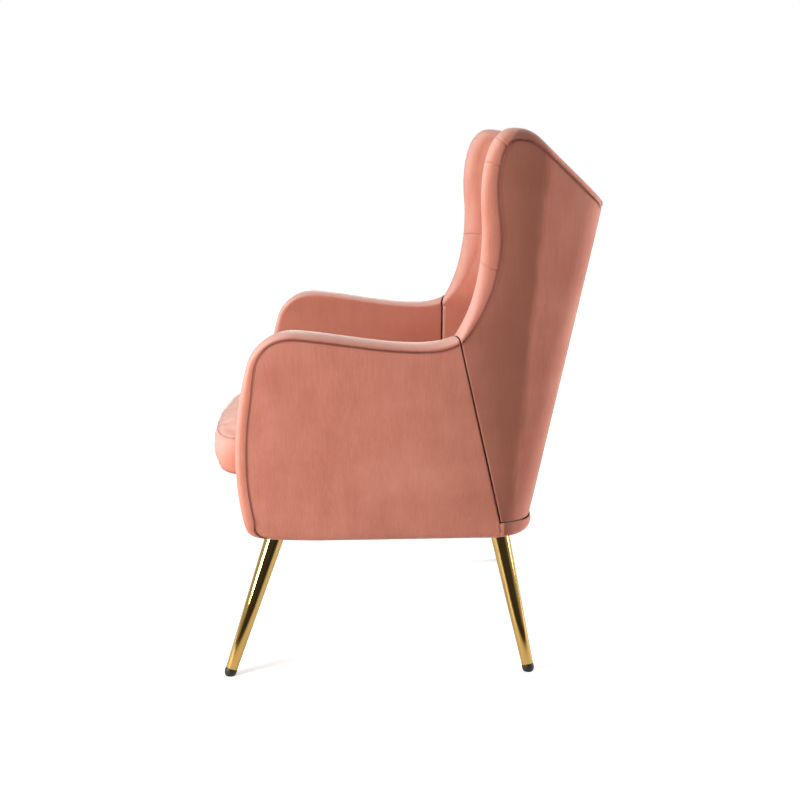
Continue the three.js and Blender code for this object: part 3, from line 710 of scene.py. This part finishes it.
def armInsideCloth(side, label, s, strip):
    # the band and the inner face, from the rim's inner edge down to the seat
    edge = strip[:, -1, 1:]
    start = s[int(np.argmax(edge[:, 1] >= arm["faceFoot"]))]
    climb = np.clip((s - start) / (1 - start), 0, 1)
    footY = arm["faceFrontY"] + climb * (arm["jointY"] - arm["faceFrontY"])
    foot = np.stack([footY, np.minimum(edge[:, 1], arm["faceFoot"])], -1)
    t = spread(0.26, 0.013, start=False, end=False)[1:]
    down = edge[:, None] * (1 - t[None, :, None]) + foot[:, None] * t[None, :, None]
    puff = arm["innerPad"] * np.sin(math.pi * np.clip(t * 1.25, 0, 1)) ** 0.8
    fade = np.clip((1 - s) / 0.12, 0, 1) * np.clip((s - 0.2) / 0.2, 0, 1)
    innerX = armInnerX(down[..., 0]) - puff[None] * fade[:, None]
    face = np.concatenate([innerX[..., None], down], -1)
    whole = np.concatenate([strip, face], 1)
    cloth = sewn(whole, (0, 1, 1, 0), depth=arm["seamDepth"])
    inside = clothPiece("arm_inside_cloth_" + label, [cloth], side)
    dress(inside, finishes["velvet"], replaced=["arm_cover_" + label])


def armOutsideCloth(side, label, strip):
    # the outer panel, in height measured over the rounded lower edge
    seam = Path(strip[:, 0, 1:])
    cornerShare = seam.reaches(1, arm["cornerHeight"])
    low = chair["underside"] - arm["under"]
    shares = np.linspace(cornerShare, 1, 60)
    frontPart = np.linspace(0, cornerShare, 50)
    top = Path(seam(shares))
    front = Path([(seam.points[0, 0], low)], seam(frontPart))
    footY = chair["seamFootY"] - chair["openSeam"]
    rear = Path([(footY, low), (footY, chair["backFoot"] - 0.001)], [seam.points[-1]])
    bottom = Path([front.points[0]], [rear.points[0]])
    u = spread(top.length, arm["step"])
    v = spread(front.length, arm["step"], start=False)
    flat = coons(bottom, top, front, rear, u, v)
    panel = overEdge(flat[..., 0], flat[..., 1] - chair["underside"])
    # the lower stretch of the rear edge runs on into the rear base and isn't sewn
    level = flat[-1, :, 1]
    rearSewn = np.clip((level - chair["backFoot"] + 0.012) / 0.012, 0, 1)[None]
    cloth = sewn(panel, (1, rearSewn, 0, 1), depth=arm["seamDepth"], crown=arm["crown"], reach=0.11)
    outside = clothPiece("arm_outside_cloth_" + label, [cloth], side)
    dress(outside, finishes["velvet"], replaced=["arm_cover_" + label])


def topstitch(name, side, strip, inward, out):
    # along the seam between a band and its outer panel
    line = strip[:, 0] * (side, 1, 1) - (0, planShift, 0)
    sway = np.stack([0 * inward[:, 0], inward[:, 0], inward[:, 1]], -1)
    stitches = threads(name, [zigzag(line, sway, np.tile(out, (len(line), 1)))])
    dress(stitches, thread)


def overEdge(y, height):
    # a point of the outer face; a height under zero has gone round the lower edge
    radius = arm["edge"]
    turn = np.clip((radius - height) / radius, 0, math.pi / 2)
    past = np.maximum(radius - height - radius * math.pi / 2, 0)
    z = chair["underside"] + np.where(height > radius, height, radius * (1 - np.sin(turn)))
    inset = np.where(height > radius, 0, radius * (1 - np.cos(turn))) + past
    x = armFootX(y) + chair["flare"] * (z - chair["underside"]) - inset
    return np.stack([x, y, z], -1)


def coverArms():
    s, inward, strip = armBand()
    for side, label in sides:
        armInsideCloth(side, label, s, strip)
        armOutsideCloth(side, label, strip)
        topstitch("arm_topstitch_" + label, side, strip, inward, (side, 0.0, 0.0))


coverArms()
print("arms covered")


back = {
    "topMiddle": 0.927,
    "sideDrop": 0.014,
    "crown": 0.013,
    "headSeam": 0.830,
    "foot": 0.3608,  # just over the deck
    "bendShare": 0.66,  # share of the way up and over at which the pad starts to bend to the rear
    "halfWidth": 0.222,
    "step": 0.009,
}


wing = {
    "step": 0.008,
    "fullness": 2.25,
    "crossSeams": (0.215, 0.500, 0.576),  # shares of the rim where the band is pieced
    "innerPad": 0.006,
    "slant": 0.03,  # how much higher the lowest cross seam lies on the inside, as a share of the rim
    "turnTo": 0.12,  # share of the rim up to where the band turns out of the open joint
    "lowerTop": 0.600,  # height at which the lower inside meets the inside back
}


def wingRimPath():
    y0, z0 = chair["seamTop"]
    start, waist, tip = (y0 + chair["openSeam"], z0), (0.1500, 0.850), (0.2041, 1.0)
    crown, slopeEnd = (0.2491, 0.985), (0.361, 0.8825)
    rear = (rearLine(chair["rearTop"]) - 0.003, chair["rearTop"])
    return Path(
        bezier(start, (0.137, 0.689), (0.158, 0.769), waist, count=40),
        bezier(waist, (0.1434, 0.930), (0.160, 1.0), tip, count=40),
        bezier(tip, (0.2301, 1.0), crown, count=16),
        bezier(crown, slopeEnd, count=16),
        bezier(slopeEnd, (0.3755, 0.8692), rear, count=16))


wingRim = wingRimPath()
wingDepth = ([0, 0.06, 0.16, 0.28, 0.45, 0.60, 0.68, 0.76, 0.95, 1],
             [0.0135, 0.021, 0.032, 0.036, 0.029, 0.025, 0.019, 0.012, 0.011, 0.010])
wingThick = ([0, 0.15, 0.40, 0.65, 0.80, 1], [0.0705, 0.065, 0.061, 0.058, 0.052, 0.036])


def wingFoot(s):
    # the line where a wing's inner face meets the inside back, by the share of the rim it belongs to
    z = np.interp(s, [0, 0.215, 0.70], [wing["lowerTop"], back["headSeam"], 0.925])
    y = insideBack(z) + 0.018
    late = np.clip((s - 0.70) / 0.30, 0, 1)
    top = chair["rearTop"]
    y = np.where(s > 0.70, np.interp(late, [0, 0.8, 1], [insideBack(0.925) + 0.018, 0.3560, 0.3665]), y)
    z = np.where(s > 0.70, np.interp(late, [0, 0.8, 1], [0.925, top + 0.019, top]), z)
    x = np.interp(s, [0, 0.70, 1], [0.219, 0.213, 0.200])
    return np.stack([x, y, z], -1)


def wingBand():
    # as armBand, for a wing
    s = spread(wingRim.length, wing["step"], extra=wing["crossSeams"])
    starting = np.clip(1 - s / wing["turnTo"], 0, 1) ** 2
    inward = towardJoint(wingRim.inward(s), starting)
    depth, thick = np.interp(s, *wingDepth), np.interp(s, *wingThick)
    across, under = halfRound(wing["fullness"], 21)
    inside = (1 - across) / 2
    first = wing["crossSeams"][0]
    rise = wing["slant"] * (inside - 0.35)[None] * np.exp(-((s - first) / 0.09) ** 2)[:, None]
    yz = wingRim(s[:, None] + rise) + inward[:, None] * (depth[:, None] * under[None])[..., None]
    ahead = armRim(np.array([0.99, 1.0]))
    ahead = (ahead[0] - ahead[1]) / np.linalg.norm(ahead[1] - ahead[0]) * chair["jointSkew"]
    yz = yz + ahead * (inside[None] * starting[:, None])[..., None]
    outer = wingOuterX(yz[..., 0], yz[..., 1])
    x = outer - thick[:, None] / 2 * (1 - across[None])
    return s, inward, np.concatenate([x[..., None], yz], -1)


def wingFaceShares():
    return spread(0.13, 0.011, start=False, end=False)[1:]


def wingUpperCloth(s, strip, foot):
    # the band and the inner face beside the inside back
    edge = strip[:, -1]
    t = wingFaceShares()
    face = edge[:, None] * (1 - t[None, :, None]) + foot[:, None] * t[None, :, None]
    swell = np.sin(math.pi * t)[None] * np.interp(s, [0, 0.1, 0.6, 1], [0, 1, 1, 0.3])[:, None]
    face[..., 0] -= wing["innerPad"] * swell
    whole = np.concatenate([strip, face], 1)
    columns, rimColumns = whole.shape[1], strip.shape[1]
    rimOnly = np.concatenate([np.ones(rimColumns), np.zeros(columns - rimColumns)])
    first, second, third = wing["crossSeams"]
    grooves = [
        (first, s, np.ones(columns), 0.0010, 0.0016),
        bandGroove(second, s, columns, rimColumns // 2 + 3),
        bandGroove(third, s, columns, rimColumns // 2 + 3),
    ]
    return sewn(whole, (rimOnly[None], rimOnly[None], 1, 0), depth=arm["seamDepth"], grooves=grooves)


def wingLowerCloth(strip, foot):
    # the lower inside, between the upright seam and the inside back
    edge = strip[:, -1]
    seatJoin = Path([(arm["jointY"] + 2 * chair["openSeam"], arm["faceFoot"])], [edge[0, 1:]])
    w = spread(seatJoin.length, 0.012, start=False, end=False)
    joinYz = seatJoin(w)
    join = np.concatenate([armInnerX(joinYz[:, :1]), joinYz], 1)
    join[-1] = edge[0]
    footZ = np.interp(w, [0, 1], [arm["faceFoot"], wing["lowerTop"]])
    footLine = np.stack([0 * w + foot[0, 0], insideBack(footZ) + 0.018, footZ], -1)
    blend = np.concatenate([[0], wingFaceShares()])[None, :, None]
    return sewn(join[:, None] * (1 - blend) + footLine[:, None] * blend, (0, 0, 1, 0))


def wingInsideCloth(side, label, s, strip):
    foot = wingFoot(s)
    parts = [wingUpperCloth(s, strip, foot), wingLowerCloth(strip, foot)]
    cloth = clothPiece("wing_inside_cloth_" + label, parts, side, weld=0.0006)
    dress(cloth, finishes["velvet"], replaced=["wing_pad_" + label])


def wingOutsideCloth(side, label, s, strip):
    # the outer panel, laid out flat along the plan of the back unit
    seam = strip[:, 0]
    yPlan = np.minimum(seam[:, 1] - leaned(seam[:, 2]), plan.points[-1, 1])
    share = np.interp(yPlan, plan.points[:, 1], plan.share)
    flat = np.stack([share * plan.length, seam[:, 2]], -1)
    tipAt = int(np.argmin(np.abs(s - 0.655)))
    footShare = plan.shareAt(1, chair["seamFootY"] + chair["openSeam"]) * plan.length
    foot = chair["backFoot"] + 0.001
    end = plan.length
    front = Path([(footShare, foot)], flat[: tipAt + 1])
    top = Path(flat[tipAt:], [(end, flat[-1, 1])])
    rear = Path([(end, foot), (end, flat[-1, 1])])
    bottom = Path([(footShare, foot), (end, foot)])
    u = spread(bottom.length * 2, wing["step"] * 1.3)
    v = spread(front.length, wing["step"])
    grid = coons(bottom, top, front, rear, u, v)
    panel = backFace(np.clip(grid[..., 0] / plan.length, 0, 1), grid[..., 1])
    cloth = sewn(panel, (1, 1, 1, 1), depth=arm["seamDepth"], crown=0.003, reach=0.09)
    piece = clothPiece("wing_outside_cloth_" + label, [cloth], side)
    dress(piece, finishes["velvet"], replaced=["wing_outer_" + label])


def coverWings():
    s, inward, strip = wingBand()
    for side, label in sides:
        wingInsideCloth(side, label, s, strip)
        topstitch("wing_topstitch_" + label, side, strip, inward, (side * 0.96, 0.28, 0.0))
        wingOutsideCloth(side, label, s, strip)


coverWings()
print("wings covered")


def insideBackPad():
    x = spread(2 * back["halfWidth"], back["step"]) * 2 - 1
    end = chair["rearTop"]
    rows = []
    for part in x:
        top = back["topMiddle"] - back["sideDrop"] * part ** 6
        rear = rearLine(end) - 0.003 + chair["bow"] * max(0, 1 - part * part)
        low = np.array([(insideBack(z), z) for z in np.linspace(back["foot"], top - 0.045, 30)])
        turn = bezier(low[-1], (insideBack(top), top + 0.004), (insideBack(top) + 0.020, top), count=14)
        slope = bezier(turn[-1], (rear - 0.017, end + 0.024 - 0.004 * part ** 6), count=10)
        over = bezier(slope[-1], (rear + 0.001, end + 0.014), (rear, end + 0.001), count=12)
        rows.append(Path(low, turn, slope, over))
    bend = back["bendShare"]
    v = spread(rows[0].length, back["step"], extra=(bend,))
    seamShare = rows[len(rows) // 2].shareAt(1, back["headSeam"])
    v = np.unique(np.concatenate([v, seamShare + np.array([-3, -2, -1, 0, 1, 2, 3]) * 0.0022]))
    width = np.interp(v, [0, bend, 0.80, 1], [back["halfWidth"], back["halfWidth"], 0.212, 0.206])
    grid = np.zeros((len(x), len(v), 3))
    for i, path in enumerate(rows):
        grid[i, :, 0] = x[i] * width
        grid[i, :, 1:] = path(v)
    swap = grid.transpose(1, 0, 2)
    groove = [(seamShare, v, 1.0, 0.006, 0.006), (seamShare, v, 1.0, 0.003, 0.0015)]
    fade = np.interp(v, [0, 0.80, 0.93, 1], [1, 1, 0.2, 0.12])[:, None]
    padded, shade = sewn(swap, (0, 0.12, fade, fade), roll=0.024, depth=0.020, crown=back["crown"],
                         reach=0.12, grooves=groove, pucker=0.0011, full=fade)
    # rows and columns change places again so that the face looks out
    pad = clothPiece("inside_back_cloth", [(padded.transpose(1, 0, 2), shade.T)], 1)
    dress(pad, finishes["velvet"], replaced=["inside_back_pad"])


def outsideBackPanel():
    half = chair["rearFlatX"] - 0.0006
    x = half - spread(2 * half, 0.011) * 2 * half
    low, high = chair["backFoot"] + 0.001, chair["rearTop"] - 0.0005
    z = low + spread(0.55, 0.011) * (high - low)
    across, up = np.meshgrid(x, z, indexing="ij")
    y = chair["rearY"] - 0.003 + leaned(up) + chair["bow"] * (1 - (across / half) ** 2)
    cloth = sewn(np.stack([across, y, up], -1), crown=0.002, reach=0.12)
    panel = clothPiece("outside_back_cloth", [cloth], 1)
    dress(panel, finishes["velvet"], replaced=["outside_back"])


def rearBaseBand():
    # runs from the left arm's panel round the rear to the right one
    flatX, flatY = chair["rearFlatX"], chair["rearY"] - 0.003
    sideX = armFootX(chair["seamFootY"])
    seamY = chair["seamFootY"] - chair["openSeam"]
    corner = bezier((sideX, seamY), (sideX - chair["wingSlope"] * 0.03, seamY + 0.03),
                    (flatX + 0.04, flatY - 0.003), (flatX, flatY), count=30)
    rear = bezier((flatX, flatY), (0, flatY + 2 * chair["bow"] * 0.35), (-flatX, flatY), count=30)
    line = Path(corner, rear, (corner * (-1, 1))[::-1])
    u = spread(line.length, 0.009, start=False, end=False)
    at, out = line(u), line.inward(u, 0.004)
    cornerEnd = Path(corner).length / line.length
    near = np.minimum(u, 1 - u)
    rearward = np.clip(near / cornerEnd, 0, 1) ** 1.2
    radius = 0.012 + 0.013 * rearward
    lean = chair["flare"] + (chair["recline"] * 0.55 - chair["flare"]) * rearward
    tall = chair["backFoot"] - chair["openSeam"] - chair["underside"]
    height = -0.024 + spread(tall + 0.024, 0.005, start=False) * (tall + 0.024)
    bend, up = np.meshgrid(radius, height, indexing="ij")
    turn = np.clip((bend - up) / bend, 0, math.pi / 2)
    past = np.maximum(bend - up - bend * math.pi / 2, 0)
    rise = np.where(up > bend, up, bend * (1 - np.sin(turn)))
    inset = np.where(up > bend, 0, bend * (1 - np.cos(turn))) + past - lean[:, None] * rise
    xy = at[:, None] - out[:, None] * inset[..., None]
    grid = np.concatenate([xy, (chair["underside"] + rise)[..., None]], -1)
    cloth = sewn(grid, (0, 0, 0, 1), crown=0.0035, reach=0.02)
    band = clothPiece("rear_base_cloth", [cloth], 1)
    dress(band, finishes["velvet"], replaced=["rear_base_cover"])


def frontBorderPanel():
    low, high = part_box("front_border")
    half, depthY = high[0] - 0.0005, high[1] + planShift
    frontY = low[1] + planShift
    bottom, top, edge = low[2], high[2] + 0.001, 0.013
    path = Path(
        bezier((depthY, bottom), (frontY + edge, bottom), count=6),
        bezier((frontY + edge, bottom), (frontY, bottom), (frontY, bottom + edge), count=10),
        bezier((frontY, bottom + edge), (frontY, top - edge), count=10),
        bezier((frontY, top - edge), (frontY, top), (frontY + edge, top), count=10),
        bezier((frontY + edge, top), (depthY, top), count=6))
    v = spread(path.length, 0.006, start=False, end=False)
    x = (spread(2 * half, 0.009) * 2 - 1) * half
    yz = path(v)
    grid = np.zeros((len(x), len(v), 3))
    grid[..., 0] = x[:, None]
    grid[..., 1:] = yz[None]
    cloth = sewn(grid, (1, 1, 0, 0), crown=0.003, reach=0.06, pucker=0.0004)
    border = clothPiece("front_border_cloth", [cloth], 1)
    dress(border, finishes["velvet"], replaced=["front_border"])


insideBackPad()
outsideBackPanel()
rearBaseBand()
frontBorderPanel()
print("back, base and front border covered")


cushion = {
    "topSeam": 0.436,
    "bottomSeam": 0.370,
    "squareness": 9.0,
    "bow": 0.018,
    "crown": 0.026,
    "noseIn": 0.014,  # room for the cloth to fill out at the front
    "rearIn": 0.006,
    "noseDrop": 0.010,  # how far the top seam comes down at the front
    "pressure": 4.0,
    "limit": 0.018,  # how far the cloth may move
    "steps": 20,
    "grid": 46,
    "strips": 7,  # rows of the boxing
    "boxingSwell": 0.006,
    "stitch": 0.006,
}


def cushionOutline():
    low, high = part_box("seat_cushion")
    n = cushion["squareness"]
    y0 = low[1] + planShift + cushion["bow"] * 0.5 + cushion["noseIn"]
    y1 = high[1] + planShift - cushion["rearIn"]
    turn = np.radians(np.linspace(-225, 135, 721))
    c, s = np.cos(turn), np.sin(turn)
    a, b = np.sign(c) * np.abs(c) ** (2 / n), np.sign(s) * np.abs(s) ** (2 / n)
    y = (y0 + y1) / 2 + b * (y1 - y0) / 2
    halfWidth = armInnerX(y) - 0.008
    front = np.clip(-b, 0, 1) ** 2
    y = y - cushion["bow"] * (1 - a * a) * front + cushion["bow"] * 0.45 * a * a * front
    return np.stack([a * halfWidth, y], -1)


def cushionShape():
    # two panels and a boxing strip between their rims
    line = cushionOutline()
    front, right, rear, left = (Path(line[k * 180: k * 180 + 181]) for k in (0, 1, 2, 3))
    u = np.linspace(0, 1, cushion["grid"])
    flat = coons(front, rear.backward(), left.backward(), right, u, u)
    a, b = 2 * u[:, None] - 1, 2 * u[None] - 1
    dome = (1 - a ** 4) * (1 - b ** 4)
    nose = cushion["noseDrop"] * np.clip(-b, 0, 1) ** 3 + 0 * a
    topZ = cushion["topSeam"] - nose + cushion["crown"] * dome
    bottomZ = cushion["bottomSeam"] - 0.006 * dome
    top = np.concatenate([flat, topZ[..., None]], -1)
    bottom = np.concatenate([flat, bottomZ[..., None]], -1)
    n = cushion["grid"]
    ring = ([(i, 0) for i in range(n - 1)] + [(n - 1, j) for j in range(n - 1)]
            + [(i, n - 1) for i in range(n - 1, 0, -1)] + [(0, j) for j in range(n - 1, 0, -1)])
    points = top.reshape(-1, 3).tolist() + bottom.reshape(-1, 3).tolist()
    faces = []
    for i in range(n - 1):
        for j in range(n - 1):
            k = i * n + j
            faces.append((k, k + n, k + n + 1, k + 1))
            k += n * n
            faces.append((k, k + 1, k + n + 1, k + n))
    topRing = [i * n + j for i, j in ring]
    bottomRing = [k + n * n for k in topRing]
    addBoxing(points, faces, bottomRing, topRing)
    mesh = bpy.data.meshes.new("seat_cushion_cloth")
    shifted = np.array(points) - (0, planShift, 0)
    mesh.from_pydata(shifted.tolist(), [], faces)
    return mesh, topRing, bottomRing


def addBoxing(points, faces, bottomRing, topRing):
    # the strip between the two panels, a little swollen
    levels = [bottomRing]
    strips = cushion["strips"]
    count = len(topRing)
    centre = np.mean([points[k] for k in topRing], axis=0)
    for level in range(1, strips):
        share = level / strips
        first = len(points)
        for low, high in zip(bottomRing, topRing):
            p = np.array(points[low]) * (1 - share) + np.array(points[high]) * share
            away = (p - centre) * (1, 1, 0)
            p += away / np.linalg.norm(away) * cushion["boxingSwell"] * math.sin(math.pi * share)
            points.append(p.tolist())
        levels.append(list(range(first, first + count)))
    levels.append(topRing)
    for below, above in zip(levels, levels[1:]):
        for i in range(count):
            k = (i + 1) % count
            faces.append((below[i], below[k], above[k], above[i]))


def blowUp(piece, held):
    # cloth under pressure, seams held; the result is capped and written back to the mesh
    group = piece.vertex_groups.new(name="seams")
    group.add(held, 1.0, "REPLACE")
    cloth = piece.modifiers.new("cloth", "CLOTH")
    settings = cloth.settings
    settings.quality = 7
    settings.mass = 0.25
    settings.tension_stiffness = 12
    settings.compression_stiffness = 12
    settings.shear_stiffness = 4
    settings.bending_stiffness = 0.6
    settings.use_pressure = True
    settings.uniform_pressure_force = cushion["pressure"]
    settings.vertex_group_mass = "seams"
    settings.shrink_min = -0.035
    settings.effector_weights.gravity = 0
    for step in range(1, cushion["steps"] + 1):
        scene.frame_set(step)
    rest = np.array([v.co for v in piece.data.vertices])
    dressed = piece.evaluated_get(bpy.context.evaluated_depsgraph_get()).to_mesh()
    moved = np.array([v.co for v in dressed.vertices])
    piece.modifiers.remove(cloth)
    push = moved - rest
    long = np.maximum(np.linalg.norm(push, axis=1, keepdims=True), 1e-9)
    push *= np.minimum(1, cushion["limit"] / long)
    piece.data.vertices.foreach_set("co", (rest + push).astype(np.float32).ravel())
    piece.data.update()
    scene.frame_set(1)
    print("cushion blown up by", round(float(long.max()) * 1000, 1), "mm at most")


def cushionSeamShade(points, seams):
    shade = np.zeros(len(points))
    batch = 400
    for k in range(0, len(points), batch):
        gap = np.linalg.norm(points[k:k + batch, None] - seams[None], axis=-1).min(1)
        shade[k:k + batch] = np.exp(-gap / 0.004)
    return shade


def cushionStitching(points, rings):
    # short stitches with gaps between them, along both seams
    lines = []
    for ring in rings:
        loop = Path(points[ring + ring[:1]])
        count = int(loop.length / cushion["stitch"])
        centre = points[ring].mean(0)
        for k in range(count):
            at = loop(np.array([(k + 0.15) / count, (k + 0.5) / count, (k + 0.85) / count]))
            away = (at - centre) * (1, 1, 0)
            away /= np.linalg.norm(away, axis=1, keepdims=True)
            lines.append(at + away * 0.0012)
    stitches = threads("seat_cushion_stitching", lines, 0.0005)
    dress(stitches, thread, body="loose_cushion")


def seatCushion():
    mesh, topRing, bottomRing = cushionShape()
    piece = addPiece("seat_cushion_cloth", mesh)
    blowUp(piece, topRing + bottomRing)
    points = np.array([v.co for v in mesh.vertices])
    floor = chair["deck"] + 0.0006
    points[:, 2] = np.maximum(points[:, 2], floor)
    mesh.vertices.foreach_set("co", points.astype(np.float32).ravel())
    shade = cushionSeamShade(points, points[topRing + bottomRing])
    mesh.attributes.new("seamShade", "FLOAT", "POINT").data.foreach_set("value", shade)
    fine = piece.modifiers.new("fine", "SUBSURF")
    fine.levels = 1
    fine.render_levels = 1
    dress(piece, finishes["velvet"], body="loose_cushion", replaced=["seat_cushion"])
    cushionStitching(points, (topRing, bottomRing))


seatCushion()
print("seat cushion made")


leg = {
    "sides": 64,
    "topRadius": 0.018,
    "footRadius": 0.0105,
    "capHeight": 0.013,
    "capOver": 0.0006,
    "top": 0.2555,
}


def legAxis(place):
    points = np.array([v.co for v in bpy.data.objects["leg_tube_" + place].data.vertices])
    low, high = points[:, 2].min(), points[:, 2].max()
    foot = points[points[:, 2] < low + 0.03].mean(0)
    top = points[points[:, 2] > high - 0.004].mean(0)
    direction = (top - foot) / np.linalg.norm(top - foot)
    return foot - direction * (foot[2] / direction[2]), direction


def turned(name, origin, direction, profile):
    # (radius, distance along the leg) pairs spun round the leg's line
    n = leg["sides"]
    across = np.cross(direction, (0, 1, 0))
    across /= np.linalg.norm(across)
    other = np.cross(direction, across)
    turn = np.linspace(0, 2 * math.pi, n, endpoint=False)
    ring = np.cos(turn)[:, None] * across + np.sin(turn)[:, None] * other
    points = [origin + direction * h + ring * r for r, h in profile]
    faces = []
    for i in range(len(profile) - 1):
        for j in range(n):
            k = (j + 1) % n
            faces.append((i * n + j, (i + 1) * n + j, (i + 1) * n + k, i * n + k))
    faces.append(tuple(range(n)))
    faces.append(tuple(reversed(range((len(profile) - 1) * n, len(profile) * n))))
    mesh = bpy.data.meshes.new(name)
    mesh.from_pydata(np.concatenate(points).tolist(), [], faces)
    edit = bmesh.new()
    edit.from_mesh(mesh)
    bmesh.ops.recalc_face_normals(edit, faces=edit.faces)
    for height, upward in ((0.0, -1), (leg["top"], 1)):
        cut = bmesh.ops.bisect_plane(edit, geom=edit.verts[:] + edit.edges[:] + edit.faces[:],
                                     plane_co=(0, 0, height), plane_no=(0, 0, upward), clear_outer=True)
        rim = [e for e in cut["geom_cut"] if isinstance(e, bmesh.types.BMEdge)]
        if rim:
            bmesh.ops.contextual_create(edit, geom=rim)
    edit.to_mesh(mesh)
    edit.free()
    piece = addPiece(name, mesh)
    sharp = piece.modifiers.new("edges", "EDGE_SPLIT")
    sharp.split_angle = math.radians(50)
    return piece


def makeLeg(place):
    origin, direction = legAxis(place)
    length = leg["top"] / direction[2]
    grow = (leg["topRadius"] - leg["footRadius"]) / length
    cap = leg["capHeight"]

    def radius(h):
        return leg["footRadius"] + grow * h
    edge = 0.0006
    tube = turned("leg_tube_turned_" + place, origin, direction, [
        (radius(cap) - edge, cap), (radius(cap) - edge * 0.3, cap + edge * 0.3),
        (radius(cap + edge), cap + edge), (radius(length / 2), length / 2),
        (radius(length + 0.03), length + 0.03)])
    dress(tube, finishes["leg_metal"], replaced=["leg_tube_" + place])
    out = leg["capOver"]
    dome = [((radius(0) + out) * math.cos(a), cap * 0.55 - (cap * 0.85) * math.sin(a))
            for a in np.radians([82, 68, 54, 40, 26, 12, 0])]
    profile = dome + [(radius(cap) + out, cap * 0.86), (radius(cap) + out * 0.4, cap - 0.0006),
                      (radius(cap) - 0.001, cap - 0.0003)]
    foot = turned("foot_cap_turned_" + place, origin, direction, profile)
    dress(foot, finishes["foot_plastic"], replaced=["foot_cap_" + place])


for place in ("front_left", "front_right", "rear_left", "rear_right"):
    makeLeg(place)
print("legs turned")


# the parts of the frame that stay as they are
def finishKept():
    names = {
        "spring_steel": ("leg_plate", "leg_screw", "seat_spring", "channel_bracket", "tongue_bracket"),
        "webbing": ("back_strap", "seat_deck"),
        "dust_cloth": ("dust_cover",),
    }
    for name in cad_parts:
        finish = next((key for key, starts in names.items() if name.startswith(starts)), "timber")
        kept = bpy.data.objects[name].data.materials
        kept.clear()
        kept.append(finishes[finish])
    print("kept parts finished")


finishKept()
